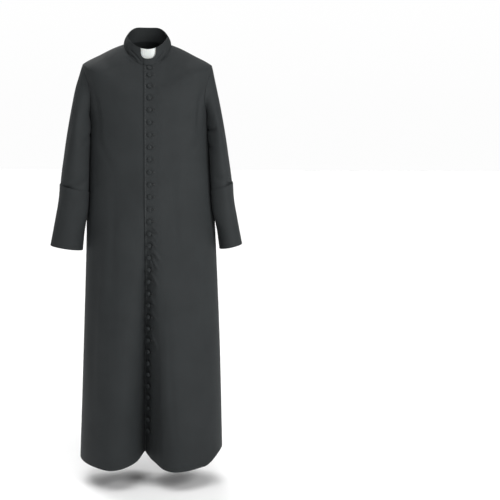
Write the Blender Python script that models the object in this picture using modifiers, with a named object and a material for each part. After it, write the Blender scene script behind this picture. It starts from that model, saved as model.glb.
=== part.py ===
"""Cassock: a full-length, single-breasted black robe with a standing collar, as it hangs when worn.

The robe is cut as a maker would cut it: two fronts that overlap down the middle, two backs joined
by a centre-back seam, two set-in sleeves with deep turned-back cuffs, a standing collar with a
white tab in its gap, and a long row of covered buttons. Every cloth piece is a thin wall: its outer
face is a loft through rings, and its inner face lies one cloth thickness inside it.

Units are metres. +X is the wearer's left, -Y is the front, +Z is up. The origin lies in the middle
of the neck, level with the points where the shoulder seams meet the collar.
"""

import math
from collections import namedtuple

import bmesh
import bpy
import numpy as np
from mathutils import Quaternion, Vector
from mathutils.bvhtree import BVHTree

# ---------------------------------------------------------------- driving sizes, in metres
CLOTH = 0.0015  # suiting with its fusible interlining
SEAM_GAP = 0.0003  # daylight left between two pieces at a seam
HEM_HEIGHT = -1.412
NECKLINE = 1.501  # station of the collar seam, measured up the side from the hem
ARMPIT = 1.147  # station of the lowest point of the armhole
SHOULDER_TIP = 1.350  # station of the highest point of the armhole
UPPER_SWAY = -0.007  # the neck, shoulders and arms hang this far to the right of the button line

FRONT_EDGE_X = -0.018  # the left front's edge lies this far past the middle
BUTTON_INSET = 0.0160  # from that edge to the button line, along the cloth
UNDERLAP = 0.038  # how far the right front runs on beneath the left one
LAP_RISE = 0.0027  # how far the left front rides above the right one
LAP_WIDTH = 0.045  # width of the doubled strip
LAP_FADE = 0.045  # width over which the left front settles back down

BUTTON_COUNT = 32
BUTTON_RADIUS = 0.0075
BUTTON_HEIGHT = 0.0050
BUTTON_FIRST = 0.0095  # from the neck seam to the top button
BUTTON_SECOND = 0.0370  # to the next one, which is set closer than the rest
BUTTON_SPACING = 0.0407
BUTTON_SIDES = 10

# ---------------------------------------------------------------- the body, as rings
# station: distance up the side from the hem. side, front, back: the ring's height at the side seam,
# centre front and centre back. width: half its width. depth_front, depth_back: how far it reaches
# ahead of and behind the side seams. sway: how far its middle lies to the left. square_front,
# square_back: 2 is an ellipse, more is boxier.
BodyRing = namedtuple(
    "BodyRing",
    "station side front back width depth_front depth_back sway square_front square_back",
)
BODY_RINGS = (
    BodyRing(0.000, -1.412, -1.428, -1.412, 0.2480, 0.191, 0.142, 0.003, 2.30, 3.30),
    BodyRing(0.208, -1.204, -1.210, -1.204, 0.2415, 0.180, 0.138, 0.005, 2.30, 3.20),
    BodyRing(0.458, -0.954, -0.956, -0.954, 0.2330, 0.169, 0.132, 0.006, 2.30, 3.00),
    BodyRing(0.708, -0.704, -0.704, -0.704, 0.2230, 0.157, 0.126, 0.005, 2.30, 2.80),
    BodyRing(0.908, -0.504, -0.504, -0.504, 0.2145, 0.149, 0.120, 0.001, 2.30, 2.60),
    BodyRing(1.052, -0.360, -0.362, -0.360, 0.2080, 0.146, 0.119, -0.004, 2.35, 2.60),
    BodyRing(ARMPIT, -0.265, -0.277, -0.268, 0.2045, 0.143, 0.121, UPPER_SWAY, 2.40, 2.60),
    BodyRing(1.247, -0.165, -0.214, -0.185, 0.2085, 0.136, 0.121, UPPER_SWAY, 2.50, 2.70),
    BodyRing(SHOULDER_TIP, -0.064, -0.155, -0.105, 0.2180, 0.122, 0.113, UPPER_SWAY, 2.40, 2.50),
    BodyRing(1.421, -0.032, -0.118, -0.058, 0.1530, 0.105, 0.098, UPPER_SWAY, 2.20, 2.20),
    BodyRing(1.469, -0.010, -0.088, -0.012, 0.1090, 0.091, 0.082, UPPER_SWAY, 2.05, 2.05),
    BodyRing(NECKLINE, 0.003, -0.066, 0.020, 0.0800, 0.079, 0.067, UPPER_SWAY, 2.00, 2.00),
)
TILT_POWER = 1.5  # how the height of a tilted ring runs from its side to its front or back

# Folds of the skirt. x_start, x_hem: where the fold lies at its upper end and at the hem. start: the
# height where it begins. depth: how far it goes in at the hem. reach_less, reach_more: its width at
# the hem towards -X and +X. power: how steeply it falls towards its bottom. rounding: how round that
# bottom is, as a share of its reach. lift: how much it raises the hem.
Fold = namedtuple(
    "Fold", "face x_start x_hem start depth reach_less reach_more power rounding lift"
)
FOLDS = (
    Fold("front", -0.014, -0.018, -0.560, 0.128, 0.095, 0.125, 2.60, 0.28, 0.026),
    Fold("front", -0.060, -0.090, -0.620, 0.008, 0.030, 0.030, 2.00, 1.00, 0.000),
    Fold("front", 0.120, 0.175, -0.900, 0.007, 0.036, 0.036, 2.00, 1.00, 0.000),
    Fold("back", 0.002, 0.002, -0.640, 0.104, 0.066, 0.062, 2.40, 0.15, 0.015),
    Fold("back", 0.175, 0.200, -0.740, 0.018, 0.030, 0.030, 2.00, 1.00, 0.000),
    Fold("back", -0.140, -0.178, -0.900, 0.012, 0.032, 0.032, 2.00, 1.00, 0.000),
)
FOLD_START_REACH = 0.45  # a fold's width where it begins, as a share of its width at the hem
FOLD_GROWTH = 1.08  # how a fold deepens on its way down: 1 is evenly
SIDE_CALM = 0.03  # folds fade away within this distance of the side seams

ARMHOLE_FRONT = math.radians(17.5)  # half-width of the armhole, seen from the body's axis
ARMHOLE_BACK = math.radians(19.5)
ARMHOLE_POWER = 0.52  # roundness of the armhole's ends

LAP_COLUMNS = (0.0, BUTTON_INSET, UNDERLAP)  # cloth positions that both fronts share
FRONT_COLUMNS = 18  # beyond the doubled strip
BACK_COLUMNS = 15
SKIRT_ROWS = 13
ARMHOLE_ROWS = 10
SHOULDER_ROWS = 5
CROWDING = 1.25  # columns lie closer near the centre lines, where the cloth folds most

# ---------------------------------------------------------------- the sleeves, as rings
# top_*: the outer edge of the ring. under_z: the height of its edge next to the body, and clear: how
# far that edge stands off the body's side. mid_y: its middle, front to back. half_depth: half its
# depth. Given for the wearer's left sleeve, and mirrored for the right.
SleeveRing = namedtuple("SleeveRing", "top_x top_z under_z clear mid_y half_depth")
SLEEVE_RINGS = (
    SleeveRing(0.2285, -0.090, -0.274, 0.0028, 0.000, 0.070),
    SleeveRing(0.2365, -0.140, -0.290, 0.0020, -0.008, 0.079),
    SleeveRing(0.2462, -0.195, -0.314, 0.0010, -0.017, 0.085),
    SleeveRing(0.2570, -0.250, -0.345, 0.0002, -0.025, 0.087),
    SleeveRing(0.2675, -0.310, -0.380, -0.0002, -0.031, 0.085),
    SleeveRing(0.2768, -0.370, -0.420, -0.0002, -0.035, 0.080),
    SleeveRing(0.2865, -0.440, -0.470, 0.0006, -0.037, 0.073),
    SleeveRing(0.2955, -0.510, -0.532, 0.0034, -0.039, 0.065),
    SleeveRing(0.3085, -0.587, -0.606, 0.0060, -0.041, 0.057),
    SleeveRing(0.3240, -0.670, -0.686, 0.0120, -0.043, 0.050),
)
CAP_BLEND = 3  # rings over which the sleeve head turns from the armhole's outline into an oval
CUFF_TOP_RING = 6.62  # the cuff's upper edge, counted in sleeve rings
CUFF_AIR = 0.0012  # between the sleeve and the cuff around it
CUFF_FLARE = 0.0012  # how much the cuff's free upper edge stands away
CUFF_ROWS = 6
SLEEVE_SETBACK = 0.003  # the sleeve ends this far inside the fold of the cuff

# ---------------------------------------------------------------- the collar
CollarRing = namedtuple("CollarRing", "side front back width depth_front depth_back")
COLLAR_RINGS = (
    CollarRing(0.003, -0.066, 0.020, 0.0800, 0.079, 0.067),
    CollarRing(0.015, -0.049, 0.034, 0.0775, 0.0785, 0.0645),
    CollarRing(0.026, -0.031, 0.050, 0.0735, 0.0775, 0.0615),
    CollarRing(0.036, -0.011, 0.066, 0.0685, 0.0760, 0.0580),
)
COLLAR_WALL = 0.0024  # two layers of cloth with canvas between them
COLLAR_PROUD = 0.0004  # its outer face stands this far outside the body's
COLLAR_ROWS = 4
COLLAR_END_RISE = 0.0034  # the left end rides over the right one
COLLAR_END_FADE = 0.035
COLLAR_UNDERLAP = 0.016
GAP_HALF_TOP = 0.0265  # the gap in the collar's front that shows the tab
GAP_HALF_BOTTOM = 0.0195
GAP_DEPTH = 0.62  # as a share of the collar's height
TAB_HALF_WIDTH = 0.040
TAB_WALL = 0.0010
TAB_AIR = 0.0008  # between the collar's inner face and the tab
TAB_LOW = 0.16  # the tab's lower and upper edges, as shares of the collar's height
TAB_HIGH = 0.985
TAB_COLUMNS = 12
TAB_ROWS = 3

BLACK_CLOTH = (0.030, 0.031, 0.033)
WHITE_TAB = (0.80, 0.81, 0.80)


# ---------------------------------------------------------------- smooth tables
def slopes_of(x, y):
    """End slopes that make a cubic through the points rise and fall only where the points do."""
    step = np.diff(x)
    rate = np.diff(y) / step
    slope = np.empty(len(x))
    slope[0], slope[-1] = rate[0], rate[-1]
    for i in range(1, len(x) - 1):
        before, after = rate[i - 1], rate[i]
        if before * after <= 0:
            slope[i] = 0.0
        else:
            share = (step[i] + 2 * step[i - 1], 2 * step[i] + step[i - 1])
            slope[i] = sum(share) / (share[0] / before + share[1] / after)
    return slope


def smooth_column(rows, key, name):
    """A function that reads one named column of a table at any value of its key column."""
    x = np.array([getattr(row, key) for row in rows])
    y = np.array([getattr(row, name) for row in rows])
    slope = slopes_of(x, y)

    def read(at):
        at = np.clip(at, x[0], x[-1])
        i = np.clip(np.searchsorted(x, at) - 1, 0, len(x) - 2)
        width = x[i + 1] - x[i]
        t = (at - x[i]) / width
        return (
            y[i] * (1 + 2 * t) * (1 - t) ** 2
            + slope[i] * width * t * (1 - t) ** 2
            + y[i + 1] * t * t * (3 - 2 * t)
            + slope[i + 1] * width * t * t * (t - 1)
        )

    return read


def ease(t):
    """Runs from 0 to 1 with no corner at either end."""
    t = np.clip(t, 0.0, 1.0)
    return t * t * (3 - 2 * t)


BODY = {
    name: smooth_column(BODY_RINGS, "station", name)
    for name in BodyRing._fields
    if name != "station"
}


# ---------------------------------------------------------------- the body's surface
def fold_amounts(fold, x, z):
    """How far a fold goes in, and how far it lifts the hem, as shares of its depth and its lift."""
    down = np.clip((fold.start - z) / (fold.start - HEM_HEIGHT), 0.0, 1.0)
    middle = fold.x_start + (fold.x_hem - fold.x_start) * down
    reach = np.where(x < middle, fold.reach_less, fold.reach_more)
    reach = reach * (FOLD_START_REACH + (1 - FOLD_START_REACH) * down)
    across = np.abs(x - middle) / reach
    rounded = np.sqrt(across**2 + fold.rounding**2) - fold.rounding
    grown = down**FOLD_GROWTH
    return [grown * np.clip(1 - u, 0.0, 1.0) ** fold.power for u in (rounded, across)]


def body_point(angle, station):
    """A point of the body's outer face. angle: 0 is centre front, 90 degrees the left side."""
    angle, station = np.broadcast_arrays(angle, station)
    across, ahead = np.sin(angle), np.cos(angle)
    front = ahead >= 0
    depth = np.where(front, BODY["depth_front"](station), BODY["depth_back"](station))
    square = np.where(front, BODY["square_front"](station), BODY["square_back"](station))
    radius = (
        np.abs(across / BODY["width"](station)) ** square + np.abs(ahead / depth) ** square
    ) ** (-1 / square)
    x, y = radius * across + BODY["sway"](station), -radius * ahead
    side = BODY["side"](station)
    end = np.where(front, BODY["front"](station), BODY["back"](station))
    z = side + (end - side) * np.abs(ahead) ** TILT_POWER
    level, folded_y = z, y
    for fold in FOLDS:
        on_face = front if fold.face == "front" else ~front
        share = ease(np.abs(y) / SIDE_CALM) * on_face
        way_in = 1 if fold.face == "front" else -1
        inward, raised = fold_amounts(fold, x, level)
        folded_y = folded_y + way_in * fold.depth * inward * share
        z = z + fold.lift * raised * share
    return np.stack([x, folded_y, z], axis=-1)


def unit(vectors):
    return vectors / np.linalg.norm(vectors, axis=-1, keepdims=True)


def body_directions(angle, station):
    """The body's outward, around and upward directions at a point."""
    turn, rise = 1e-3, 1e-3
    around = body_point(angle + turn, station) - body_point(angle - turn, station)
    up = body_point(angle, station + rise) - body_point(angle, station - rise)
    return unit(np.cross(around, up)), unit(around), unit(up)


RING_SAMPLES = 1441


def ring_lengths(station):
    """Angles round a ring, and the length of cloth from centre back up to each of them."""
    angle = np.linspace(-math.pi, math.pi, RING_SAMPLES)
    points = body_point(angle, np.full(RING_SAMPLES, station))
    steps = np.linalg.norm(np.diff(points, axis=0), axis=1)
    return angle, np.concatenate([[0.0], np.cumsum(steps)]), points


def armhole_half_angle(station, widest):
    """How far the armhole reaches to one side of the side line at a station."""
    share = (station - ARMPIT) / (SHOULDER_TIP - ARMPIT)
    if not 0.0 < share < 1.0:
        return 0.0
    return widest * (4 * share * (1 - share)) ** ARMHOLE_POWER


def edge_position(angle, length, points):
    """Where the left front's edge crosses a ring, as a length of cloth."""
    near = np.abs(angle) < math.pi / 4
    return np.interp(FRONT_EDGE_X, points[near, 0], length[near])


def stations():
    """The rows of the panels, closest together where the armhole starts and ends."""
    skirt = np.linspace(0.0, ARMPIT, SKIRT_ROWS + 1)
    turn = np.linspace(0.0, math.pi, ARMHOLE_ROWS + 1)
    armhole = ARMPIT + (SHOULDER_TIP - ARMPIT) * (1 - np.cos(turn)) / 2
    shoulder = np.linspace(SHOULDER_TIP, NECKLINE, SHOULDER_ROWS + 1)
    return np.concatenate([skirt, armhole[1:], shoulder[1:]])


STATIONS = stations()


def panel_angles(side, face, columns):
    """Angles of a panel's points, a row for each station, in the order they go round the body."""
    rows = []
    share = np.linspace(0.0, 1.0, columns + 1) ** CROWDING
    for station in STATIONS:
        angle, length, points = ring_lengths(station)
        if face == "front":
            seam = math.pi / 2 - armhole_half_angle(station, ARMHOLE_FRONT)
            lap = edge_position(angle, length, points) + np.array(LAP_COLUMNS)
            lap = lap if side > 0 else lap[::-1]
            start = lap[-1]
        else:
            seam = math.pi / 2 + armhole_half_angle(station, ARMHOLE_BACK)
            lap = np.zeros(1)
            start = length[-1] - SEAM_GAP / 2 if side > 0 else SEAM_GAP / 2
        end = np.interp(side * seam, angle, length)
        end = end + math.copysign(SEAM_GAP / 2, start - end)
        along = np.concatenate([lap[:-1], start + (end - start) * share])
        rows.append(np.interp(along, length, angle))
    return np.sort(np.array(rows), axis=1)


def station_grid(columns):
    """The station of each point of a panel; its last row leaves the collar's seam gap."""
    grid = np.repeat(STATIONS[:, None], columns, axis=1)
    grid[-1] -= SEAM_GAP
    return grid


# ---------------------------------------------------------------- building walls
def cloth_wall(name, outer, inner, material, ring=False):
    """A closed wall between two grids of points. ring: the grids' last column meets the first."""
    rows, columns = outer.shape[:2]
    mesh = bpy.data.meshes.new(name)
    shape = bmesh.new()
    faces_of = [
        [[shape.verts.new(point) for point in row] for row in grid] for grid in (outer, inner)
    ]
    last = columns if ring else columns - 1
    out, back = faces_of
    for i in range(rows - 1):
        for j in range(last):
            k = (j + 1) % columns
            shape.faces.new([out[i][j], out[i][k], out[i + 1][k], out[i + 1][j]])
            shape.faces.new([back[i][j], back[i + 1][j], back[i + 1][k], back[i][k]])
    for j in range(last):
        k = (j + 1) % columns
        shape.faces.new([out[0][k], out[0][j], back[0][j], back[0][k]])
        shape.faces.new([out[-1][j], out[-1][k], back[-1][k], back[-1][j]])
    if not ring:
        for i in range(rows - 1):
            shape.faces.new([out[i][0], out[i + 1][0], back[i + 1][0], back[i][0]])
            shape.faces.new([out[i + 1][-1], out[i][-1], back[i][-1], back[i + 1][-1]])
    bmesh.ops.recalc_face_normals(shape, faces=shape.faces)
    shape.to_mesh(mesh)
    shape.free()
    mesh.shade_smooth()
    mesh.set_sharp_from_angle(angle=math.radians(40))
    mesh.materials.append(material)
    CLOTHES.objects.link(bpy.data.objects.new(name, mesh))


def make_material(name, colour, roughness, sheen):
    material = bpy.data.materials.new(name)
    material.use_nodes = True
    shader = material.node_tree.nodes["Principled BSDF"]
    shader.inputs["Base Color"].default_value = (*colour, 1.0)
    shader.inputs["Roughness"].default_value = roughness
    shader.inputs["Metallic"].default_value = 0.0
    shader.inputs["Sheen Weight"].default_value = sheen
    return material


# ---------------------------------------------------------------- fronts and backs
def lap_rise(side, face, outer_angles):
    """How far each point of a panel rides above the surface below it."""
    rise = np.zeros(outer_angles.shape)
    if face == "front" and side > 0:
        for i, station in enumerate(STATIONS):
            angle, length, points = ring_lengths(station)
            start = edge_position(angle, length, points)
            along = np.interp(outer_angles[i], angle, length) - start
            rise[i] = LAP_RISE * (1 - ease((along - LAP_WIDTH) / LAP_FADE))
    return rise[..., None]


def make_panel(name, side, face, columns, material):
    """One front or back. side: +1 is the wearer's left. Gives back its angles and its points."""
    angles = panel_angles(side, face, columns)
    heights = station_grid(angles.shape[1])
    out, _, _ = body_directions(angles, heights)
    outer = body_point(angles, heights) + out * lap_rise(side, face, angles)
    cloth_wall(name, outer, outer - out * CLOTH, material)
    return angles, outer


# ---------------------------------------------------------------- sleeves and cuffs
def armhole_rim(side):
    """The sleeve's first ring, one seam gap inside the armhole, and the way into the armhole.

    It starts under the arm, runs up the front to the shoulder tip and down the back.
    """
    rows = STATIONS[SKIRT_ROWS : SKIRT_ROWS + ARMHOLE_ROWS + 1]
    front = [(math.pi / 2 - armhole_half_angle(s, ARMHOLE_FRONT), s, 1) for s in rows]
    back = [(math.pi / 2 + armhole_half_angle(s, ARMHOLE_BACK), s, -1) for s in rows[-2:0:-1]]
    rim, ways_in = [], []
    for angle, station, turn in front + back:
        out, around, up = body_directions(side * angle, station)
        if station == rows[0]:
            way_in = up
        elif station == rows[-1]:
            way_in = -up
        else:
            way_in = around * side * turn
        ways_in.append(way_in)
        rim.append(body_point(side * angle, station) + (way_in + out) * SEAM_GAP)
    return np.array(rim), np.array(ways_in)


def body_side(side, height):
    """The body's sideways reach at a height, on one side."""
    table = np.linspace(0.0, SHOULDER_TIP, 300)
    station = np.interp(height, BODY["side"](table), table)
    return side * BODY["width"](station) + BODY["sway"](station)


def sleeve_ring(side, place, count):
    """An oval ring of the sleeve, at a place counted in rows of SLEEVE_RINGS."""
    lower = min(int(place), len(SLEEVE_RINGS) - 2)
    share = place - lower
    row = SleeveRing(
        *(a + (b - a) * share for a, b in zip(SLEEVE_RINGS[lower], SLEEVE_RINGS[lower + 1]))
    )
    turn = np.arange(count) * 2 * math.pi / count
    top_x = side * row.top_x + UPPER_SWAY
    under_x = body_side(side, row.under_z) + side * row.clear
    return np.stack(
        [
            (top_x + under_x - (top_x - under_x) * np.cos(turn)) / 2,
            row.mid_y - row.half_depth * np.sin(turn),
            (row.top_z + row.under_z - (row.top_z - row.under_z) * np.cos(turn)) / 2,
        ],
        axis=-1,
    )


def tube_normals(grid, side):
    """Outward directions of a tube of rings that run down an arm."""
    around = np.roll(grid, -1, axis=1) - np.roll(grid, 1, axis=1)
    down = np.gradient(grid, axis=0)
    return unit(np.cross(down, around)) * side


def sleeve_grid(rim, side):
    """The sleeve's outer face, from the armhole to the wrist."""
    rings = [rim]
    top = len(rim) // 2
    to_top = (1 - np.cos(np.arange(len(rim)) * math.pi / top))[:, None] / 2
    for place in range(len(SLEEVE_RINGS)):
        oval = sleeve_ring(side, place, len(rim))
        share = ease((place + 1) / (CAP_BLEND + 1))
        shift = (oval[0] - rim[0]) * (1 - to_top) + (oval[top] - rim[top]) * to_top
        rings.append((rim + shift) * (1 - share) + oval * share)
    grid = np.array(rings)
    last = grid[-1] - grid[-2]
    grid[-1] -= last * SLEEVE_SETBACK / np.linalg.norm(last, axis=1).mean()
    return grid


def make_sleeve(name, side, material):
    """A sleeve. Over the shoulder its end is cut parallel to the armhole's, as a mitre."""
    rim, ways_in = armhole_rim(side)
    outer = sleeve_grid(rim, side)
    normals = tube_normals(outer, side)
    inner = outer - normals * CLOTH
    down = unit(outer[1] - outer[0])
    short = np.sum(normals[0] * ways_in, axis=1)
    slide = np.where(short > 0, CLOTH * short / np.sum(down * ways_in, axis=1), 0.0)
    inner[0] += down * slide[:, None]
    if side < 0:
        outer, inner = outer[:, ::-1], inner[:, ::-1]
    cloth_wall(name, outer, inner, material, ring=True)


def make_cuff(name, side, material):
    """The turned-back cuff: a tube round the sleeve whose upper edge stands a little open."""
    count = 2 * ARMHOLE_ROWS
    places = np.linspace(CUFF_TOP_RING, len(SLEEVE_RINGS) - 1, CUFF_ROWS + 1)
    grid = np.array([sleeve_ring(side, place, count) for place in places])
    normals = tube_normals(grid, side)
    opening = np.linspace(1.0, 0.0, CUFF_ROWS + 1)[:, None, None] ** 2
    inner = grid + normals * (CUFF_AIR + CUFF_FLARE * opening)
    outer = inner + normals * CLOTH
    if side < 0:
        outer, inner = outer[:, ::-1], inner[:, ::-1]
    cloth_wall(name, outer, inner, material, ring=True)


# ---------------------------------------------------------------- collar and tab
COLLAR_HEIGHTS = np.linspace(0.0, 1.0, len(COLLAR_RINGS))


def collar_value(name, share):
    return np.interp(share, COLLAR_HEIGHTS, [getattr(row, name) for row in COLLAR_RINGS])


def collar_point(angle, share):
    """A point of the collar's outer face. share: 0 at the neck seam, 1 at the top edge."""
    angle, share = np.broadcast_arrays(angle, share)
    across, ahead = np.sin(angle), np.cos(angle)
    front = ahead >= 0
    depth = np.where(
        front, collar_value("depth_front", share), collar_value("depth_back", share)
    )
    radius = 1 / np.hypot(across / collar_value("width", share), ahead / depth)
    side = collar_value("side", share)
    end = np.where(front, collar_value("front", share), collar_value("back", share))
    z = side + (end - side) * np.abs(ahead) ** TILT_POWER
    return np.stack([radius * across + UPPER_SWAY, -radius * ahead, z], axis=-1)


def collar_normals(angle, share):
    turn, rise = 1e-3, 0.05
    around = collar_point(angle + turn, share) - collar_point(angle - turn, share)
    up = collar_point(angle, np.minimum(share + rise, 1)) - collar_point(
        angle, np.maximum(share - rise, 0)
    )
    return unit(np.cross(around, up))


def gap_depth(x):
    """How far the collar's top edge drops at a distance from the middle, as a share."""
    slope = (GAP_HALF_TOP - np.abs(x)) / (GAP_HALF_TOP - GAP_HALF_BOTTOM)
    return GAP_DEPTH * ease(slope)


def neck_angles(panels):
    """Angles of the panels' points along the neck seam, from the left front's edge right round."""
    order = (("front_left", 0), ("back_left", 0), ("back_right", 1), ("front_right", 1))
    return np.concatenate([panels[name][0][-1] + turns * 2 * math.pi for name, turns in order])


def collar_columns(neck):
    """Angles of the collar's columns: those of the panels below it and of the gap's corners."""
    finish = neck[0] + 2 * math.pi + COLLAR_UNDERLAP / COLLAR_RINGS[0].depth_front
    columns = [neck[0], finish]
    for x in (GAP_HALF_BOTTOM, (GAP_HALF_BOTTOM + GAP_HALF_TOP) / 2, GAP_HALF_TOP):
        corner = math.asin(x / COLLAR_RINGS[-1].depth_front)
        columns += [corner, 2 * math.pi - corner]
    for angle in neck:
        if angle < finish and min(abs(angle - other) for other in columns) > 0.012:
            columns.append(angle)
    return np.array(sorted(columns))


def make_collar(name, panels, material):
    """The standing collar. Its lowest row follows the panels' upper edges, cut parallel to them."""
    neck = neck_angles(panels)
    angle = collar_columns(neck)
    x_at_top = collar_point(angle, 1.0)[:, 0] - UPPER_SWAY
    top = 1 - np.where(np.cos(angle) > 0, gap_depth(x_at_top), 0.0)
    shares = np.linspace(0.0, 1.0, COLLAR_ROWS + 1)[:, None] * top
    angles = np.broadcast_to(angle, shares.shape)
    grid = collar_point(angles, shares)
    out = collar_normals(angles, shares)
    corners = body_point(neck, NECKLINE)
    seam = [np.interp(angle, neck, corners[:, axis]) for axis in range(3)]
    out[0], _, body_up = body_directions(angle, NECKLINE - 0.001)
    grid[0] = np.stack(seam, axis=-1) + body_up * SEAM_GAP
    along = (angle - angle[0]) * COLLAR_RINGS[0].depth_front
    rise = COLLAR_END_RISE * (1 - ease((along - COLLAR_UNDERLAP) / COLLAR_END_FADE))
    outer = grid + out * (COLLAR_PROUD + rise)[None, :, None]
    cloth_wall(name, outer, outer - out * COLLAR_WALL, material)


def make_tab(name, material):
    """The stiff white strip that stands inside the collar and shows in its gap."""
    radius = COLLAR_RINGS[-1].depth_front
    reach = math.asin(TAB_HALF_WIDTH / radius)
    angle = np.linspace(-reach, reach, TAB_COLUMNS + 1)
    share = np.linspace(TAB_LOW, TAB_HIGH, TAB_ROWS + 1)[:, None]
    grid = collar_point(angle, share)
    out = collar_normals(*np.broadcast_arrays(angle, share))
    outer = grid + out * (COLLAR_PROUD - COLLAR_WALL - TAB_AIR)
    cloth_wall(name, outer, outer - out * TAB_WALL, material)


# ---------------------------------------------------------------- buttons
def button_profile():
    """Half of a covered button's outline, from the rim of its flat back to the top of its dome."""
    base = [(0.0, 0.0), (BUTTON_RADIUS * 0.86, 0.0), (BUTTON_RADIUS, BUTTON_HEIGHT * 0.30)]
    dome = []
    for step in range(1, 3):
        lean = step * math.pi / 6
        dome.append(
            (BUTTON_RADIUS * math.cos(lean), BUTTON_HEIGHT * (0.30 + 0.70 * math.sin(lean)))
        )
    return base + dome + [(0.0, BUTTON_HEIGHT)]


def button_mesh(material):
    """The outline that each button's Screw turns; it runs down the outer side, top to bottom."""
    mesh = bpy.data.meshes.new("button_outline")
    outline = [(radius, 0.0, height) for radius, height in reversed(button_profile())]
    mesh.from_pydata(outline, [(i, i + 1) for i in range(len(outline) - 1)], [])
    mesh.materials.append(material)
    return mesh


def surface_tree(grid):
    """The facets of a panel's outer face, for finding where a button touches them."""
    rows, columns = grid.shape[:2]
    corners = [Vector(point) for point in grid.reshape(-1, 3)]
    quads = []
    for i in range(rows - 1):
        for j in range(columns - 1):
            first = i * columns + j
            quads.append((first, first + 1, first + columns + 1, first + columns))
    return BVHTree.FromPolygons(corners, quads)


def button_distances():
    """Each button's distance down the cloth from the neck seam."""
    rest = BUTTON_SECOND + BUTTON_SPACING * np.arange(BUTTON_COUNT - 1)
    return np.concatenate([[BUTTON_FIRST], rest])


def resting_place(tree, point, out):
    """Where a button's flat back touches the cloth: over the highest spot under its rim."""
    across = out.orthogonal().normalized()
    spots = [point]
    for step in range(BUTTON_SIDES):
        turn = Quaternion(out, step * 2 * math.pi / BUTTON_SIDES)
        spots.append(point + turn @ across * BUTTON_RADIUS)
    reach = 4 * BUTTON_RADIUS
    hits = [tree.ray_cast(spot + out * reach, -out, 2 * reach)[3] for spot in spots]
    nearest = min(distance for distance in hits if distance is not None)
    return point + out * (reach - nearest + SEAM_GAP)


def make_buttons(panel, material):
    """A row of buttons down the left front's button line, each square to the cloth below it."""
    outline = button_mesh(material)
    tree = surface_tree(panel)
    line = panel[::-1, LAP_COLUMNS.index(BUTTON_INSET)]
    ahead = panel[::-1, LAP_COLUMNS.index(UNDERLAP)] - panel[::-1, 0]
    steps = np.linalg.norm(np.diff(line, axis=0), axis=1)
    down = np.concatenate([[0.0], np.cumsum(steps)])
    for number, distance in enumerate(button_distances(), start=1):
        point = Vector([np.interp(distance, down, line[:, axis]) for axis in range(3)])
        row = np.searchsorted(down, distance)
        up = Vector(line[row - 1] - line[row])
        out = Vector(ahead[row - 1] + ahead[row]).cross(up).normalized()
        button = bpy.data.objects.new(f"button_{number:02d}", outline)
        button.location = resting_place(tree, point, out)
        button.rotation_mode = "QUATERNION"
        button.rotation_quaternion = out.to_track_quat("Z", "Y")
        turn = button.modifiers.new("turn", "SCREW")
        turn.steps = turn.render_steps = BUTTON_SIDES
        turn.use_merge_vertices = True
        turn.merge_threshold = 0.0001
        turn.use_smooth_shade = True
        CLOTHES.objects.link(button)


# ---------------------------------------------------------------- the whole garment
def clear_scene():
    for thing in list(bpy.data.objects):
        bpy.data.objects.remove(thing)


def make_cassock():
    cloth = make_material("black_cloth", BLACK_CLOTH, roughness=0.75, sheen=0.25)
    covered = make_material("covered_button", BLACK_CLOTH, roughness=0.65, sheen=0.2)
    white = make_material("white_tab", WHITE_TAB, roughness=0.45, sheen=0.0)
    panels = {}
    for side, word in ((1, "left"), (-1, "right")):
        for face, columns in (("front", FRONT_COLUMNS), ("back", BACK_COLUMNS)):
            name = f"{face}_{word}"
            panels[name] = make_panel(name, side, face, columns, cloth)
        make_sleeve(f"sleeve_{word}", side, cloth)
        make_cuff(f"cuff_{word}", side, cloth)
    make_collar("collar", panels, cloth)
    make_tab("collar_tab", white)
    make_buttons(panels["front_left"][1], covered)


clear_scene()
CLOTHES = bpy.data.collections.new("cassock")
bpy.context.scene.collection.children.link(CLOTHES)
make_cassock()
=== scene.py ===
# %% [markdown]
# # A black cassock, finished in Blender
# The construction model gives this robe its pieces, sizes and places. This lesson gives them their
# looks: fine cloth with soft creases, seams that sink in, stitching, covered buttons and light.
# Everything is in metres. +X is the wearer's left, -Y is the front and +Z is up.

# %% Load the construction model as a fixed frame
import math
import random
from collections import namedtuple

import bpy
import numpy as np
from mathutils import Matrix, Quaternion, Vector
from mathutils.bvhtree import BVHTree


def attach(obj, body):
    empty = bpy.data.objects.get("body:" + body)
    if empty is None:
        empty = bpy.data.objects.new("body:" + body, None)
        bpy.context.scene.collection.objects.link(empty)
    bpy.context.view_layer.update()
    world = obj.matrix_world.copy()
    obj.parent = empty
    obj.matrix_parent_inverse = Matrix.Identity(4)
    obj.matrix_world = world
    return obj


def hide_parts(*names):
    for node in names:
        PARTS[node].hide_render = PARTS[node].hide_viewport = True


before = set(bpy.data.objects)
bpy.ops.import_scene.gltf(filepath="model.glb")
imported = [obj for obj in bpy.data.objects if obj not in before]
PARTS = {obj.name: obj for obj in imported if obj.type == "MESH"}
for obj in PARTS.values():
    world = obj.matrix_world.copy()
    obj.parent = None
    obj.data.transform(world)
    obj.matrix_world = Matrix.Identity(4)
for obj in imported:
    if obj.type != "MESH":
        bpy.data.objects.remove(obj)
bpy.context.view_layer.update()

SIDES = {"left": 1, "right": -1}  # the sign of X on each of the wearer's sides
print("construction pieces:", len(PARTS))

# %% [markdown]
# ## Sizes of the cut
# A maker works from a table of measures, and so does this script. Each row of the body table is a
# ring round the robe at one height. A spline through each column gives the rings in between, so the
# cloth can be drawn as finely as it needs. The tables start from the construction model's own, so
# each fine piece lies on its own solid, or close to it where the soft cloth settles.

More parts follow.
